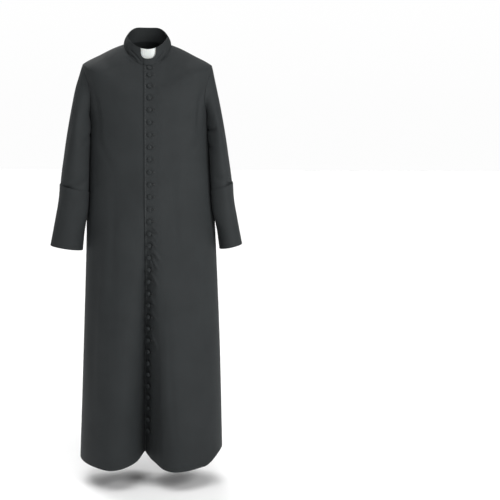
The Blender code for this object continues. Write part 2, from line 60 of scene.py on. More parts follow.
# %% Measures of the body
CLOTH = 0.0015  # thickness of the suiting with its interlining
NECKLINE = 1.501  # distances up the side from the hem, as for every station below
ARMPIT = 1.147
SHOULDER_TIP = 1.350
HEM_HEIGHT = -1.412
UPPER_SWAY = -0.007  # the shoulders hang this far to the wearer's right

# station: distance up the side from the hem. side, front, back: the ring's height at the side seam,
# centre front and centre back. width: half its width. depth_front, depth_back: how far it reaches
# ahead of and behind the side seams. sway: how far its middle lies to the left. square_front,
# square_back: 2 is an ellipse, more is boxier.
BodyRing = namedtuple(
    "BodyRing",
    "station side front back width depth_front depth_back sway square_front square_back",
)
BODY_RINGS = (
    BodyRing(0.000, -1.412, -1.428, -1.412, 0.2480, 0.191, 0.142, 0.003, 2.30, 3.30),
    BodyRing(0.208, -1.204, -1.210, -1.204, 0.2415, 0.180, 0.138, 0.005, 2.30, 3.20),
    BodyRing(0.458, -0.954, -0.956, -0.954, 0.2330, 0.169, 0.132, 0.006, 2.30, 3.00),
    BodyRing(0.708, -0.704, -0.704, -0.704, 0.2230, 0.157, 0.126, 0.005, 2.30, 2.80),
    BodyRing(0.908, -0.504, -0.504, -0.504, 0.2160, 0.149, 0.120, 0.002, 2.30, 2.60),
    BodyRing(1.052, -0.360, -0.362, -0.360, 0.2115, 0.146, 0.119, 0.000, 2.35, 2.60),
    BodyRing(ARMPIT, -0.265, -0.277, -0.268, 0.2045, 0.143, 0.121, -0.001, 2.40, 2.60),
    BodyRing(1.247, -0.165, -0.214, -0.185, 0.2085, 0.136, 0.121, -0.006, 2.50, 2.70),
    BodyRing(SHOULDER_TIP, -0.064, -0.155, -0.105, 0.2180, 0.122, 0.113, UPPER_SWAY, 2.40, 2.50),
    BodyRing(1.421, -0.027, -0.118, -0.058, 0.1530, 0.105, 0.098, UPPER_SWAY, 2.20, 2.20),
    BodyRing(1.469, -0.005, -0.088, -0.012, 0.1090, 0.091, 0.082, UPPER_SWAY, 2.05, 2.05),
    BodyRing(NECKLINE, 0.006, -0.066, 0.020, 0.0800, 0.079, 0.067, UPPER_SWAY, 2.00, 2.00),
)
TILT_POWER = 1.5  # how sharply a ring's height turns up or down towards its middle
print("the body has", len(BODY_RINGS), "rings")


# %% Smooth curves through a table
def slopes_of(x, y):
    """End slopes that make a cubic through the points rise and fall only where the points do."""
    step = np.diff(x)
    rate = np.diff(y) / step
    slope = np.empty(len(x))
    slope[0], slope[-1] = rate[0], rate[-1]
    for i in range(1, len(x) - 1):
        before, after = rate[i - 1], rate[i]
        if before * after <= 0:
            slope[i] = 0.0
        else:
            share = (step[i] + 2 * step[i - 1], 2 * step[i] + step[i - 1])
            slope[i] = sum(share) / (share[0] / before + share[1] / after)
    return slope


def blend(t, start, end, start_slope, end_slope):
    """A cubic from a start to an end with given slopes, as t goes from 0 to 1."""
    rest = 1 - t
    settled = start * (1 + 2 * t) * rest**2 + end * t * t * (3 - 2 * t)
    return settled + start_slope * t * rest**2 - end_slope * t * t * rest


def smooth_curve(x, y):
    """A function that reads the smooth curve through some points at any x."""
    slope = slopes_of(x, y)

    def read(at):
        """The curve at one place or at many."""
        at = np.clip(at, x[0], x[-1])
        i = np.clip(np.searchsorted(x, at) - 1, 0, len(x) - 2)
        width = x[i + 1] - x[i]
        return blend((at - x[i]) / width, y[i], y[i + 1], slope[i] * width, slope[i + 1] * width)

    return read


def smooth_columns(rows, key):
    """Functions that read each named column of a table at any value of its key column."""
    table = np.array(rows)
    columns = {name: table[:, i] for i, name in enumerate(rows[0]._fields)}
    x = columns.pop(key)
    return {name: smooth_curve(x, column) for name, column in columns.items()}


def ease(t):
    """Runs from 0 to 1 with no corner at either end."""
    t = np.clip(t, 0.0, 1.0)
    return t * t * (3 - 2 * t)


def bell(off, width):
    """1 where off is 0, and soon nothing beyond width on either side."""
    return np.exp(-((off / width) ** 2))


BODY = smooth_columns(BODY_RINGS, "station")
print("half the chest's width:", round(float(BODY["width"](ARMPIT)), 3), "m")

# %% [markdown]
# ## The long folds of the skirt
# The skirt is wider than the wearer, so its cloth swings in at the middle of the front and of the
# back, and a few shallow troughs run down beside them. A long fold starts at nothing, deepens all
# the way to the hem and lifts the hem as it goes in. One formula with a row of numbers for each
# fold is easier to change than a sculpted mesh, and it can't tear the cloth.

# %% Folds of the skirt
# face: front, back, or side where it runs round a side seam. x_start, x_hem: where its middle is at
# its top and at the hem. start: the height of its top. depth: how far it goes in at the hem.
# reach_less, reach_more: its half widths there, towards the wearer's right and left. power: how
# narrow its bottom is. rounding: how blunt its bottom is. lift: how far it raises the hem.
Fold = namedtuple(
    "Fold", "face x_start x_hem start depth reach_less reach_more power rounding lift"
)
FOLDS = (
    Fold("front", -0.012, -0.018, -0.540, 0.120, 0.095, 0.120, 2.60, 0.14, 0.033),
    Fold("front", -0.012, -0.018, -0.520, 0.028, 0.022, 0.052, 1.15, 0.20, 0.003),
    Fold("front", -0.044, -0.074, -0.500, 0.017, 0.048, 0.048, 2.00, 1.00, 0.010),
    Fold("front", -0.215, -0.245, -0.500, 0.013, 0.030, 0.085, 1.30, 0.50, 0.000),
    Fold("side", 0.215, 0.250, -0.900, 0.000, 0.040, 0.040, 2.00, 1.00, 0.034),
    Fold("front", 0.120, 0.175, -0.900, 0.007, 0.036, 0.036, 2.00, 1.00, 0.000),
    Fold("back", 0.002, 0.002, -0.640, 0.104, 0.066, 0.062, 2.40, 0.15, 0.015),
    Fold("back", 0.178, 0.208, -0.740, 0.030, 0.040, 0.044, 2.00, 1.00, 0.000),
    Fold("back", -0.140, -0.178, -0.900, 0.012, 0.032, 0.032, 2.00, 1.00, 0.000),
)
FOLD_START_REACH = 0.45  # a fold's width at its top, as a share of its width at the hem
FOLD_GROWTH = 1.08  # at 1, a fold would deepen evenly down to the hem
SOFT = 0.6  # a fold rounded more than this lifts the hem in a curve, and the others in a peak
SIDE_CALM = 0.03  # folds fade over this distance from the side seams
SHOULDER_RUN = 0.071  # from the tip of the shoulder up its seam
SHOULDER_PRESS = 0.060
PRESS_CORNER = 0.06  # less would press more sharply at the tip
PRESS_SPREAD = 0.30  # how far it reaches ahead of and behind the seam, as a cosine


def fold_amounts(fold, x, z):
    """How far a fold goes in, and how far it lifts the hem, as shares of its depth and its lift."""
    down = np.clip((fold.start - z) / (fold.start - HEM_HEIGHT), 0.0, 1.0)
    middle = fold.x_start + (fold.x_hem - fold.x_start) * down
    reach = np.where(x < middle, fold.reach_less, fold.reach_more)
    reach = reach * (FOLD_START_REACH + (1 - FOLD_START_REACH) * down)
    across = np.abs(x - middle) / reach
    rounded = np.sqrt(across**2 + fold.rounding**2) - fold.rounding
    peaked = rounded if fold.rounding > SOFT else across
    grown = down**FOLD_GROWTH
    return [grown * np.clip(1 - u, 0.0, 1.0) ** fold.power for u in (rounded, peaked)]


def shoulder_press(ahead, station):
    """How far the shoulders are pressed in beside their seams, so that they run straight to
    their tips."""
    way = np.clip((station - SHOULDER_TIP) / SHOULDER_RUN, 0.0, 1.0)
    dent = SHOULDER_PRESS * way**2 / (way + PRESS_CORNER) * (1 - way) ** 2
    return dent * bell(ahead, PRESS_SPREAD)


print("folds in the skirt:", len(FOLDS))


# %% The body's surface
def body_point(angle, station):
    """A point of the body's outer face. angle: 0 is centre front, 90 degrees the left side."""
    angle, station = np.broadcast_arrays(angle, station)
    across, ahead = np.sin(angle), np.cos(angle)
    front = ahead >= 0
    depth = np.where(front, BODY["depth_front"](station), BODY["depth_back"](station))
    square = np.where(front, BODY["square_front"](station), BODY["square_back"](station))
    radius = (
        np.abs(across / BODY["width"](station)) ** square + np.abs(ahead / depth) ** square
    ) ** (-1 / square)
    radius = radius - shoulder_press(ahead, station)
    x, y = radius * across + BODY["sway"](station), -radius * ahead
    side = BODY["side"](station)
    end = np.where(front, BODY["front"](station), BODY["back"](station))
    z = side + (end - side) * np.abs(ahead) ** TILT_POWER
    level, folded_y = z, y
    for fold in FOLDS:
        share = ease(np.abs(y) / SIDE_CALM) * (front if fold.face == "front" else ~front)
        if fold.face == "side":  # it runs round the side seam, from one face to the other
            share = 1.0
        way_in = 1 if fold.face == "front" else -1
        inward, raised = fold_amounts(fold, x, level)
        folded_y = folded_y + way_in * fold.depth * inward * share
        z = z + fold.lift * raised * share
    return np.stack([x, folded_y, z], axis=-1)


def unit(vectors):
    """The same directions with a length of 1."""
    return vectors / np.linalg.norm(vectors, axis=-1, keepdims=True)


def body_directions(angle, station):
    """The body's outward, around and upward directions at a point."""
    turn, rise = 1e-3, 1e-3
    around = body_point(angle + turn, station) - body_point(angle - turn, station)
    up = body_point(angle, station + rise) - body_point(angle, station - rise)
    return unit(np.cross(around, up)), unit(around), unit(up)


def lengths_along(points):
    """Running lengths along the rows of a grid of points."""
    steps = np.linalg.norm(np.diff(points, axis=1), axis=2)
    return np.concatenate([np.zeros((len(points), 1)), np.cumsum(steps, axis=1)], axis=1)


def lengths_down(points):
    """Running lengths along the columns of a grid of points."""
    return lengths_along(points.transpose(1, 0, 2)).T


WAIST_STATION = 0.95
WAIST = body_point(np.linspace(0, 2 * math.pi, 400), WAIST_STATION)
print("waist girth:", round(float(lengths_along(WAIST[None])[0, -1]), 3), "m")

# %% [markdown]
# ## Creases
# Suiting this firm hardly creases: it hangs in soft troughs where something pulls it, at the
# armholes, the elbows, the collar and the buttons. A crease here is a path with a width and a depth.
# Its profile is a trough with a low shoulder on each side, because cloth that is pushed in bulges
# out beside it. A plain noise texture would be quicker, but it has no cause and no direction.

# %% A crease and its profile
# start and end: where the path runs, in the piece's own two directions. bow: how far its middle
# swings sideways. width: half of the trough. depth: how far it goes in, or less than 0 for a ridge.
Crease = namedtuple("Crease", "a_start b_start a_end b_end bow width depth")
SHOULDER_SHARE = 0.9  # how strongly the cloth beside a trough bulges out
TROUGH_FALL = 1.1  # how fast the profile dies away
END_POWER = 0.8  # less than 1 keeps a crease deep for longer towards its ends


def crease_push(creases, a, b):
    """How far the creases push a surface out at places (a, b)."""
    push = np.zeros(np.shape(a))
    for crease in creases:
        run = np.array([crease.a_end - crease.a_start, crease.b_end - crease.b_start])
        length = np.hypot(*run)
        run = run / length
        along = ((a - crease.a_start) * run[0] + (b - crease.b_start) * run[1]) / length
        off = (b - crease.b_start) * run[0] - (a - crease.a_start) * run[1]
        taper = np.sin(math.pi * np.clip(along, 0.0, 1.0))
        square = ((off - crease.bow * taper) / crease.width) ** 2
        profile = (1 - SHOULDER_SHARE * square) * np.exp(-TROUGH_FALL * square)
        push -= crease.depth * taper**END_POWER * profile
    return push


# %% Creases of the fronts and backs, as paths in X and Z
COLLAR_CREASES = (  # they run on from the fronts into the collar
    Crease(-0.078, -0.020, -0.040, -0.052, 0.000, 0.0038, 0.0032),
    Crease(-0.068, -0.010, -0.026, -0.056, 0.001, 0.0034, 0.0030),
    Crease(-0.084, -0.036, -0.044, -0.064, -0.001, 0.0040, 0.0028),
    Crease(0.052, -0.014, 0.018, -0.056, 0.001, 0.0036, 0.0028),
    Crease(0.062, -0.026, 0.026, -0.064, -0.001, 0.0042, 0.0030),
)
PANEL_CREASES = {
    "front": (
        *COLLAR_CREASES,
        Crease(-0.192, -0.130, -0.165, -0.300, 0.008, 0.0110, 0.0022),
        Crease(-0.186, -0.225, -0.120, -0.420, -0.010, 0.0160, 0.0015),
        Crease(-0.100, -0.060, -0.185, -0.110, 0.006, 0.0140, 0.0012),
        Crease(0.182, -0.120, 0.160, -0.290, -0.008, 0.0100, 0.0034),
        Crease(0.176, -0.235, 0.110, -0.400, 0.012, 0.0170, 0.0014),
        Crease(0.085, -0.070, 0.175, -0.112, -0.005, 0.0140, 0.0012),
        Crease(-0.120, -0.420, -0.135, -0.860, 0.006, 0.0180, 0.0022),
        Crease(-0.170, -0.640, -0.195, -1.250, -0.008, 0.0200, 0.0034),
        Crease(0.080, -0.380, 0.095, -0.720, -0.006, 0.0170, 0.0018),
        Crease(0.150, -0.560, 0.172, -0.980, 0.006, 0.0180, 0.0024),
        Crease(0.060, -0.900, 0.085, -1.330, -0.004, 0.0160, 0.0020),
    ),
    "back": (
        Crease(-0.022, -0.022, -0.142, -0.076, -0.008, 0.0180, 0.0070),
        Crease(0.030, -0.100, 0.020, -0.390, 0.004, 0.0110, 0.0038),
        Crease(-0.145, -0.130, -0.152, -0.560, 0.005, 0.0140, 0.0034),
        Crease(-0.186, -0.120, -0.176, -0.300, -0.006, 0.0110, 0.0030),
        Crease(0.182, -0.095, 0.168, -0.260, 0.006, 0.0110, 0.0030),
        Crease(0.085, -0.050, 0.160, -0.100, -0.006, 0.0130, 0.0018),
        Crease(0.120, -0.240, 0.096, -0.520, -0.008, 0.0180, 0.0018),
        Crease(-0.070, -0.300, -0.088, -0.620, 0.006, 0.0170, 0.0016),
        Crease(-0.075, -0.700, -0.095, -1.200, 0.006, 0.0200, 0.0030),
        Crease(0.090, -0.760, 0.104, -1.300, -0.006, 0.0190, 0.0030),
    ),
}
print("creases on each face:", {face: len(rows) for face, rows in PANEL_CREASES.items()})

# %% [markdown]
# ## Colours and nodes
# Colours are written as sRGB hex values, the way a swatch is measured, and one function turns them
# into the linear values that a shader needs. One other function adds a node with its settings and
# its links, so each material below reads as a list of steps.

# %% Helpers for materials
def linear(swatch):
    """An sRGB hex colour as linear values with full opacity."""
    parts = [int(swatch[i : i + 2], 16) / 255 for i in (1, 3, 5)]
    return [*(p / 12.92 if p <= 0.04045 else ((p + 0.055) / 1.055) ** 2.4 for p in parts), 1.0]


def add(material, kind, inputs=None, **settings):
    """Adds a node. inputs: a value, or another node's output, for each of its sockets."""
    node = material.node_tree.nodes.new("ShaderNode" + kind)
    for name, value in settings.items():
        setattr(node, name, value)
    for name, value in (inputs or {}).items():
        if isinstance(value, bpy.types.NodeSocket):
            material.node_tree.links.new(value, node.inputs[name])
        else:
            node.inputs[name].default_value = value
    return node


def new_material(name, **constants):
    """A material with a Principled shader, whose constants are set on its own sockets."""
    material = bpy.data.materials.new(name)
    material.use_nodes = True
    shader = material.node_tree.nodes["Principled BSDF"]
    for socket, value in constants.items():
        shader.inputs[socket.replace("_", " ")].default_value = value
    return material, shader


def finish(material, shader, tone, swatches, relief, strength, height):
    """Runs the colour between two swatches by tone, and raises the surface by relief."""
    ramp = add(material, "ValToRGB", {"Fac": tone})
    for stop, swatch in zip(ramp.color_ramp.elements, swatches):
        stop.color = linear(swatch)
    bump = add(material, "Bump", {"Height": relief, "Strength": strength, "Distance": height})
    material.node_tree.links.new(ramp.outputs["Color"], shader.inputs["Base Color"])
    material.node_tree.links.new(bump.outputs["Normal"], shader.inputs["Normal"])
    return material


print("a black swatch in linear values:", [round(v, 4) for v in linear("#202223")])

# %% [markdown]
# ## Suiting: polyester and viscose twill, woven and pressed
# A cassock is cut from a firm, matt, fine twill. The diagonal ribs catch a little light, the pressed
# yarns have a low sheen seen edge-on, and no two yarns take the dye alike. A real rib is about 0.5 mm
# wide, which is far finer than the render can show, so it is drawn 1.6 mm wide. The ribs are laid
# out in UVs measured in metres along the cloth, so they follow each piece's own grain as cut cloth
# does. A texture in object coordinates would slice straight through the sleeves instead.

# %% The suiting
RIB_WIDTH = 0.0016  # drawn width; the real one is about 0.0005
BUTTON_RIB_WIDTH = 0.0011  # a button's cover is a lighter twill
RIB_ANGLE = math.radians(63)  # a steep twill, as suiting has
WAVE_BAND = 2 * math.pi / 20  # how far apart a wave texture's bands are at a scale of 1
YARN_WIDTH = 0.0009  # drawn width; the real one is about 0.0003
CLOUD_SCALE = 9.0  # a patch of darker or lighter dye is about a ninth of a metre across
TONES = {"From Min": 0.7, "From Max": 2.3}  # between these lies the sum of ribs, yarns and clouds


def make_suiting(name, swatches, roughness, rib_width):
    """Twill. Its matt, slightly hairy yarns give it no mirror light and a faint bloom at its rims."""
    material, shader = new_material(
        name,
        Roughness=roughness,
        IOR=1.46,
        Specular_IOR_Level=0.16,
        Sheen_Weight=0.03,
        Sheen_Roughness=0.45,
        Sheen_Tint=linear("#B9BEC0"),
    )
    place = add(material, "UVMap", uv_map="cloth").outputs["UV"]
    turned = add(material, "Mapping", {"Vector": place, "Rotation": (0, 0, RIB_ANGLE)}).outputs[0]
    ribs = add(
        material,
        "TexWave",
        {"Vector": turned, "Scale": WAVE_BAND / rib_width, "Distortion": 0.6, "Detail": 1.0},
        bands_direction="X",
    ).outputs["Fac"]
    yarns = add(
        material, "TexNoise", {"Vector": place, "Scale": 1 / YARN_WIDTH, "Detail": 2.0}
    ).outputs["Fac"]
    clouds = add(
        material,
        "TexNoise",
        {"Vector": place, "Scale": CLOUD_SCALE, "Detail": 3.0, "Roughness": 0.55},
    ).outputs["Fac"]
    weave = add(material, "Math", {0: ribs, 1: yarns}, operation="ADD").outputs[0]
    sum_of_tones = add(material, "Math", {0: weave, 1: clouds}, operation="ADD").outputs[0]
    tone = add(material, "MapRange", {"Value": sum_of_tones, **TONES}).outputs["Result"]
    return finish(material, shader, tone, swatches, weave, strength=0.35, height=0.0002)


SUITING = make_suiting("black_twill_suiting", ("#202223", "#2F3233"), 0.72, RIB_WIDTH)
BUTTON_CLOTH = make_suiting("button_covering_twill", ("#1D2021", "#2C2F30"), 0.46, BUTTON_RIB_WIDTH)
print("ribs to a centimetre of drawn cloth:", round(0.01 / RIB_WIDTH, 1))

# %% [markdown]
# ## Thread and the white tab
# The topstitching is twisted polyester, smoother than the cloth, so it shows as a faint glint; its
# colour is also painted lighter than the black cloth, a painted highlight of that glint. The
# buttonholes are worked in silk twist, painted darker than the cloth: painted shade of the slit
# between their bars. The tab is moulded polypropylene, white with a satin face, and light goes a
# little way into it.

# %% Thread and tab materials
TWIST_LENGTH = 0.0007  # drawn distance between the twist's strands; the real one is about 0.0004
MOULD_GRAIN = 1 / 900  # the fine texture of the mould's wall, about 1 mm
SMUDGE = 1 / 60  # patches where the white is a little duller, about 17 mm


def make_thread(name, swatches):
    """Twisted thread, whose smooth strands give the eye a small broken glint."""
    material, shader = new_material(name, Roughness=0.42, IOR=1.55)
    place = add(material, "TexCoord").outputs["Object"]
    twist = add(
        material, "TexNoise", {"Vector": place, "Scale": 1 / TWIST_LENGTH, "Detail": 1.0}
    ).outputs["Fac"]
    return finish(material, shader, twist, swatches, twist, strength=0.4, height=0.0001)


def make_tab_plastic():
    """Moulded plastic, satin and slightly milky, the one bright thing on the robe."""
    material, shader = new_material(
        "white_polypropylene", Roughness=0.38, IOR=1.49, Subsurface_Weight=0.08
    )
    place = add(material, "TexCoord").outputs["Object"]
    grain, smudge = [
        add(material, "TexNoise", {"Vector": place, "Scale": 1 / size, "Detail": 2.0}).outputs["Fac"]
        for size in (MOULD_GRAIN, SMUDGE)
    ]
    whites = ("#C2C4C1", "#CED0CC")
    return finish(material, shader, smudge, whites, grain, strength=0.15, height=0.0001)


# the topstitch swatches are lighter than the black cloth: a painted highlight standing in for the
# thread's glint
TOPSTITCH_THREAD_PAINTED_HIGHLIGHT = make_thread("polyester_thread_painted_highlight", ("#303334", "#4A4D4E"))
# the silk's near-black swatches are painted shade: they stand in for the dark of the buttonhole's slit
SILK_PAINTED_SHADE = make_thread("silk_twist_painted_shade", ("#0F1011", "#1C1E1F"))
TAB_PLASTIC = make_tab_plastic()
print("materials:", [m.name for m in (SUITING, BUTTON_CLOTH, TOPSTITCH_THREAD_PAINTED_HIGHLIGHT, SILK_PAINTED_SHADE, TAB_PLASTIC)])

# %% [markdown]
# ## From two grids of points to a piece of cloth
# Each piece of cloth is drawn as an outer and an inner grid of points, one cloth thickness apart, and
# a mesh is made straight from the two. A Solidify modifier could add the inner face, but the ends of
# the sleeves are cut as a mitre where they meet the body, and two grids keep that cut exact. The UVs
# are the lengths along and across the cloth in metres.

# %% Building a wall of cloth
SHARP = math.radians(55)  # faces that meet at more than this angle are shaded as an edge


def new_piece(name, points, faces, material, uv=None):
    """An object made of points and faces, shaded smooth. uv: a flat place for each face corner."""
    mesh = bpy.data.meshes.new(name)
    mesh.from_pydata(points.tolist(), [], faces)
    if uv is not None:
        mesh.uv_layers.new(name="cloth").data.foreach_set("uv", uv.ravel())
    mesh.shade_smooth()
    mesh.materials.append(material)
    piece = bpy.data.objects.new(name, mesh)
    bpy.context.scene.collection.objects.link(piece)
    return piece


def wall_places(rows, columns, ring):
    """The quads of a closed wall between two grids, as numbers of places in the grids."""
    wide = columns + ring
    place = np.arange(rows * wide).reshape(rows, wide)
    cells = np.stack([place[:-1, :-1], place[:-1, 1:], place[1:, 1:], place[1:, :-1]], axis=-1)
    rims = [np.stack([place[0, 1:], place[0, :-1]], 1), np.stack([place[-1, :-1], place[-1, 1:]], 1)]
    if not ring:
        rims.append(np.stack([place[:-1, 0], place[1:, 0]], 1))
        rims.append(np.stack([place[1:, -1], place[:-1, -1]], 1))
    return cells.reshape(-1, 4), np.concatenate(rims)


def cloth_wall(name, outer, inner, uv, material, ring=False):
    """A wall of cloth. ring: the last column meets the first, and uv has one column more."""
    across, along = outer[0, 1] - outer[0, 0], outer[1, 0] - outer[0, 0]
    if np.cross(across, along) @ (outer[0, 0] - inner[0, 0]) < 0:
        outer, inner, uv = outer[::-1], inner[::-1], uv[::-1]
    rows, columns = outer.shape[:2]
    wide = columns + ring
    cells, rims = wall_places(rows, columns, ring)
    layer = rows * wide
    rim_quads = np.hstack([rims, rims[:, ::-1] + layer])
    side, spot = np.divmod(np.concatenate([cells, cells[:, ::-1] + layer, rim_quads]), layer)
    row, column = np.divmod(spot, wide)
    corners = (side * rows + row) * columns + column % columns
    points = np.concatenate([outer.reshape(-1, 3), inner.reshape(-1, 3)])
    flat = uv.reshape(-1, 2)[spot.ravel()]
    piece = new_piece(name, points, corners.tolist(), material, flat)
    piece.data.set_sharp_from_angle(angle=SHARP)
    return piece


def grid_normals(grid):
    """Directions square to a closed tube of points, on the side from which its columns run to the
    right and its rows run up."""
    around = np.roll(grid, -1, axis=1) - np.roll(grid, 1, axis=1)
    return unit(np.cross(around, np.gradient(grid, axis=0)))


print("the suiting is", CLOTH * 1000, "mm thick")

# %% [markdown]
# ## Where the panels' points lie
# Two fronts and two backs meet at the side seams, over the shoulders and round the armholes. Rows
# run across each panel every 5 mm or so, and close up near the seams, where the cloth dips
# into the stitching. Columns lie at measured distances along the cloth, so a strip such as the lap
# keeps its width from the neck to the hem.

# %% Rows and columns of the panels
SEAM_GAP = 0.00002  # sewn edges meet, but each piece stays clear of the next
HEM_ROWS = [0.0, 0.0012]
EVEN_START = 0.004  # from here up the rows are evenly spaced
ROW_SPACING = 0.0050
SHOULDER_ROW_SPACING = 0.0045
ARMHOLE_ROWS = 44
NEAR_SEAM = np.array([0.0, 0.0012, 0.0028, 0.0050])  # the first rows or columns beside a seam
ARMHOLE_REACH = {"front": math.radians(21), "back": math.radians(19.5)}
ARMHOLE_POWER = 0.52  # 0.5 would make its outline an ellipse, and more narrows its ends
RING_SAMPLES = 1441  # points between which a ring's length is measured
FRONT_EDGE_X = -0.018  # where the left front's edge runs
UNDERLAP = 0.038  # how far the right front runs on beneath it
UNDERLAP_COLUMNS = np.linspace(UNDERLAP, 0.0, 16)
BUTTON_STRIP_COLUMNS = np.linspace(0.0, 0.054, 34)  # fine enough for the pulls at the buttons
COLUMNS = {"front": 84, "back": 82}  # from the strips at the middle to the side seam
CROWDING = 1.12  # above 1, they lie closer together towards the middle


def panel_stations():
    """Distances up the side for the rows, from the hem to the neck seam."""
    skirt = np.concatenate([HEM_ROWS, np.arange(EVEN_START, ARMPIT, ROW_SPACING)[:-1], [ARMPIT]])
    turn = np.linspace(0.0, math.pi, ARMHOLE_ROWS + 1)
    armhole = ARMPIT + (SHOULDER_TIP - ARMPIT) * (1 - np.cos(turn)) / 2
    spacing = SHOULDER_ROW_SPACING
    shoulder = np.arange(SHOULDER_TIP + spacing, NECKLINE - 2 * spacing, spacing)
    return np.concatenate([skirt, armhole[1:], shoulder, NECKLINE - NEAR_SEAM[::-1]])


STATIONS = panel_stations()
FIRST_ARMHOLE_ROW = int(np.argmin(np.abs(STATIONS - ARMPIT)))


def ring_lengths(station):
    """Angles round a ring, and the length of cloth from centre back up to each of them."""
    angle = np.linspace(-math.pi, math.pi, RING_SAMPLES)
    points = body_point(angle, np.full(RING_SAMPLES, station))
    return angle, lengths_along(points[None])[0], points


def armhole_half_angle(station, face):
    """How far the armhole reaches to one side of the side line at a station."""
    share = (station - ARMPIT) / (SHOULDER_TIP - ARMPIT)
    if not 0.0 < share < 1.0:
        return 0.0
    return ARMHOLE_REACH[face] * (4 * share * (1 - share)) ** ARMHOLE_POWER


def edge_position(angle, length, points):
    """Where the left front's edge crosses a ring, as a length of cloth."""
    near = np.abs(angle) < math.pi / 4
    return np.interp(FRONT_EDGE_X, points[near, 0], length[near])


RINGS = [ring_lengths(station) for station in STATIONS]
LEFT_EDGES = np.array([edge_position(*ring) for ring in RINGS])
print("rows:", len(STATIONS), " rows round the armhole:", ARMHOLE_ROWS)


# %% The grid of one panel
def spread(start, end, columns):
    """Positions from a start to an end, with a few close to the end, where a seam is."""
    share = np.linspace(0.0, 1.0, columns + 1) ** CROWDING
    span = abs(end - start) - NEAR_SEAM[-1]
    towards = math.copysign(1.0, end - start)
    return np.concatenate([start + towards * span * share[:-1], end - towards * NEAR_SEAM[::-1]])


def panel_grid(side, face):
    """A panel's angles and its lengths of cloth, a row for each station, from right to left."""
    angles, lengths = [], []
    for (angle, length, _), station, edge in zip(RINGS, STATIONS, LEFT_EDGES):
        if face == "front":
            seam = math.pi / 2 - armhole_half_angle(station, face)
            lap = edge + (BUTTON_STRIP_COLUMNS if side > 0 else UNDERLAP_COLUMNS)
        else:
            seam = math.pi / 2 + armhole_half_angle(station, face)
            centre = length[-1] - SEAM_GAP / 2 if side > 0 else SEAM_GAP / 2
            lap = centre - side * NEAR_SEAM
        end = np.interp(side * seam, angle, length)
        end += math.copysign(SEAM_GAP / 2, lap[-1] - end)
        along = np.sort(np.concatenate([lap[:-1], spread(lap[-1], end, COLUMNS[face])]))
        angles.append(np.interp(along, length, angle))
        lengths.append(along)
    return np.array(angles), np.array(lengths)


def seam_dip(distance, depth=0.0008, width=0.0040):
    """How far cloth sinks at a distance from a seam."""
    return depth * (1 - ease(distance / width))


print("the left front's edge, from centre back:", LEFT_EDGES[[0, -1]].round(3), "m at hem and neck")

# %% [markdown]
# ## The fronts and the backs
# The left front laps over the right one, so it rides nearly 4 mm higher along the doubled strip.
# Creases push both fronts alike there. At each button the cloth of the left front also stands up in
# a few short, uneven ridges, because the buttonholes pull on it.

# %% Small pulls beside the buttons
BUTTONS = sorted(name for name in PARTS if name.startswith("button_"))
PLAIN_SHARE = 0.30  # this share of the buttons has no pull
PULL_START = 0.010  # from the button's centre
PULL_SHIFT = 0.003  # a pull starts at most this far above or below the centre
PULL_REACH = (0.014, 0.032)  # the least and the most, as in the next three
PULL_SLOPE = (-0.9, 0.35)
PULL_WIDTH = (0.0028, 0.0050)
PULL_HEIGHT = (0.0006, 0.0014)
DIMPLE = 0.0019  # how far each button's thread draws the cloth in round it
DIMPLE_RADIUS = 0.0085
DIMPLE_WIDTH = 0.0032
WAIST_PULLS = (  # the strongest ridges, from the waist down
    Crease(0.003, -0.589, 0.031, -0.624, 0.001, 0.0042, -0.0034),
    Crease(-0.003, -0.606, 0.026, -0.644, -0.001, 0.0040, -0.0030),
    Crease(0.004, -0.640, 0.022, -0.668, 0.001, 0.0036, -0.0026),
    Crease(0.002, -0.668, 0.036, -0.714, 0.003, 0.0056, -0.0044),
    Crease(-0.006, -0.680, 0.008, -0.730, 0.001, 0.0040, -0.0030),
    Crease(0.006, -0.694, 0.034, -0.746, -0.002, 0.0046, -0.0034),
    Crease(0.000, -0.742, 0.028, -0.796, 0.002, 0.0056, -0.0038),
    Crease(-0.004, -0.818, 0.020, -0.866, 0.002, 0.0056, -0.0030),
    Crease(0.004, -0.872, 0.026, -0.916, -0.001, 0.0050, -0.0026),
    Crease(0.002, -0.950, 0.024, -1.010, 0.002, 0.0058, -0.0028),
)
random.seed(32)


def button_place(name):
    """The centre of a button's flat back, and the direction that it faces."""
    points = np.array([v.co for v in PARTS[name].data.vertices])
    middle = points.mean(axis=0)
    _, _, axes = np.linalg.svd(points - middle, full_matrices=False)
    out = axes[-1] * -math.copysign(1.0, axes[-1][1])
    return middle + out * ((points - middle) @ out).min(), out


def button_pulls(places):
    """Ridges that run from some of the buttonholes into the left front."""
    ridges = []
    for centre, _ in places:
        if random.random() < PLAIN_SHARE:
            continue
        reach = random.uniform(*PULL_REACH)
        climb = random.uniform(*PULL_SLOPE) * reach
        x = centre[0] + PULL_START
        z = centre[2] + random.uniform(-PULL_SHIFT, PULL_SHIFT)
        width = random.uniform(*PULL_WIDTH)
        height = random.uniform(*PULL_HEIGHT)
        ridges.append(Crease(x, z, x + reach, z + climb, 0.0, width, -height))
    return ridges


BUTTON_PLACES = [button_place(name) for name in BUTTONS]
BUTTON_PULLS = button_pulls(BUTTON_PLACES)


def dimples(x, z):
    """How far the cloth sinks at places round the buttons."""
    sunk = np.zeros(x.shape)
    for centre, _ in BUTTON_PLACES:
        away = np.hypot(x - centre[0], z - centre[2])
        sunk = np.maximum(sunk, bell(away - DIMPLE_RADIUS, DIMPLE_WIDTH))
    return DIMPLE * sunk


print("buttons:", len(BUTTONS), " pulls:", len(BUTTON_PULLS))

# %% The panels
SEAM_SLANT = 0.0004  # inner edges lean over, so that nothing can be seen through a seam
CREASE_CALM = 0.012  # creases fade over this distance from a side seam
TIP_CALM = 0.8  # the seams' dips fade at the tips of the shoulders, which are pressed flat
TIP_REACH = 0.022
LAP_RISE = 0.0038  # how far the left front rides above the right one
LAP_WIDTH = 0.045  # width of the doubled strip
LAP_FADE = 0.045  # width over which the left front settles back down
PULL_SINK = LAP_RISE / 4  # beside a ridge the left front sinks no more than this


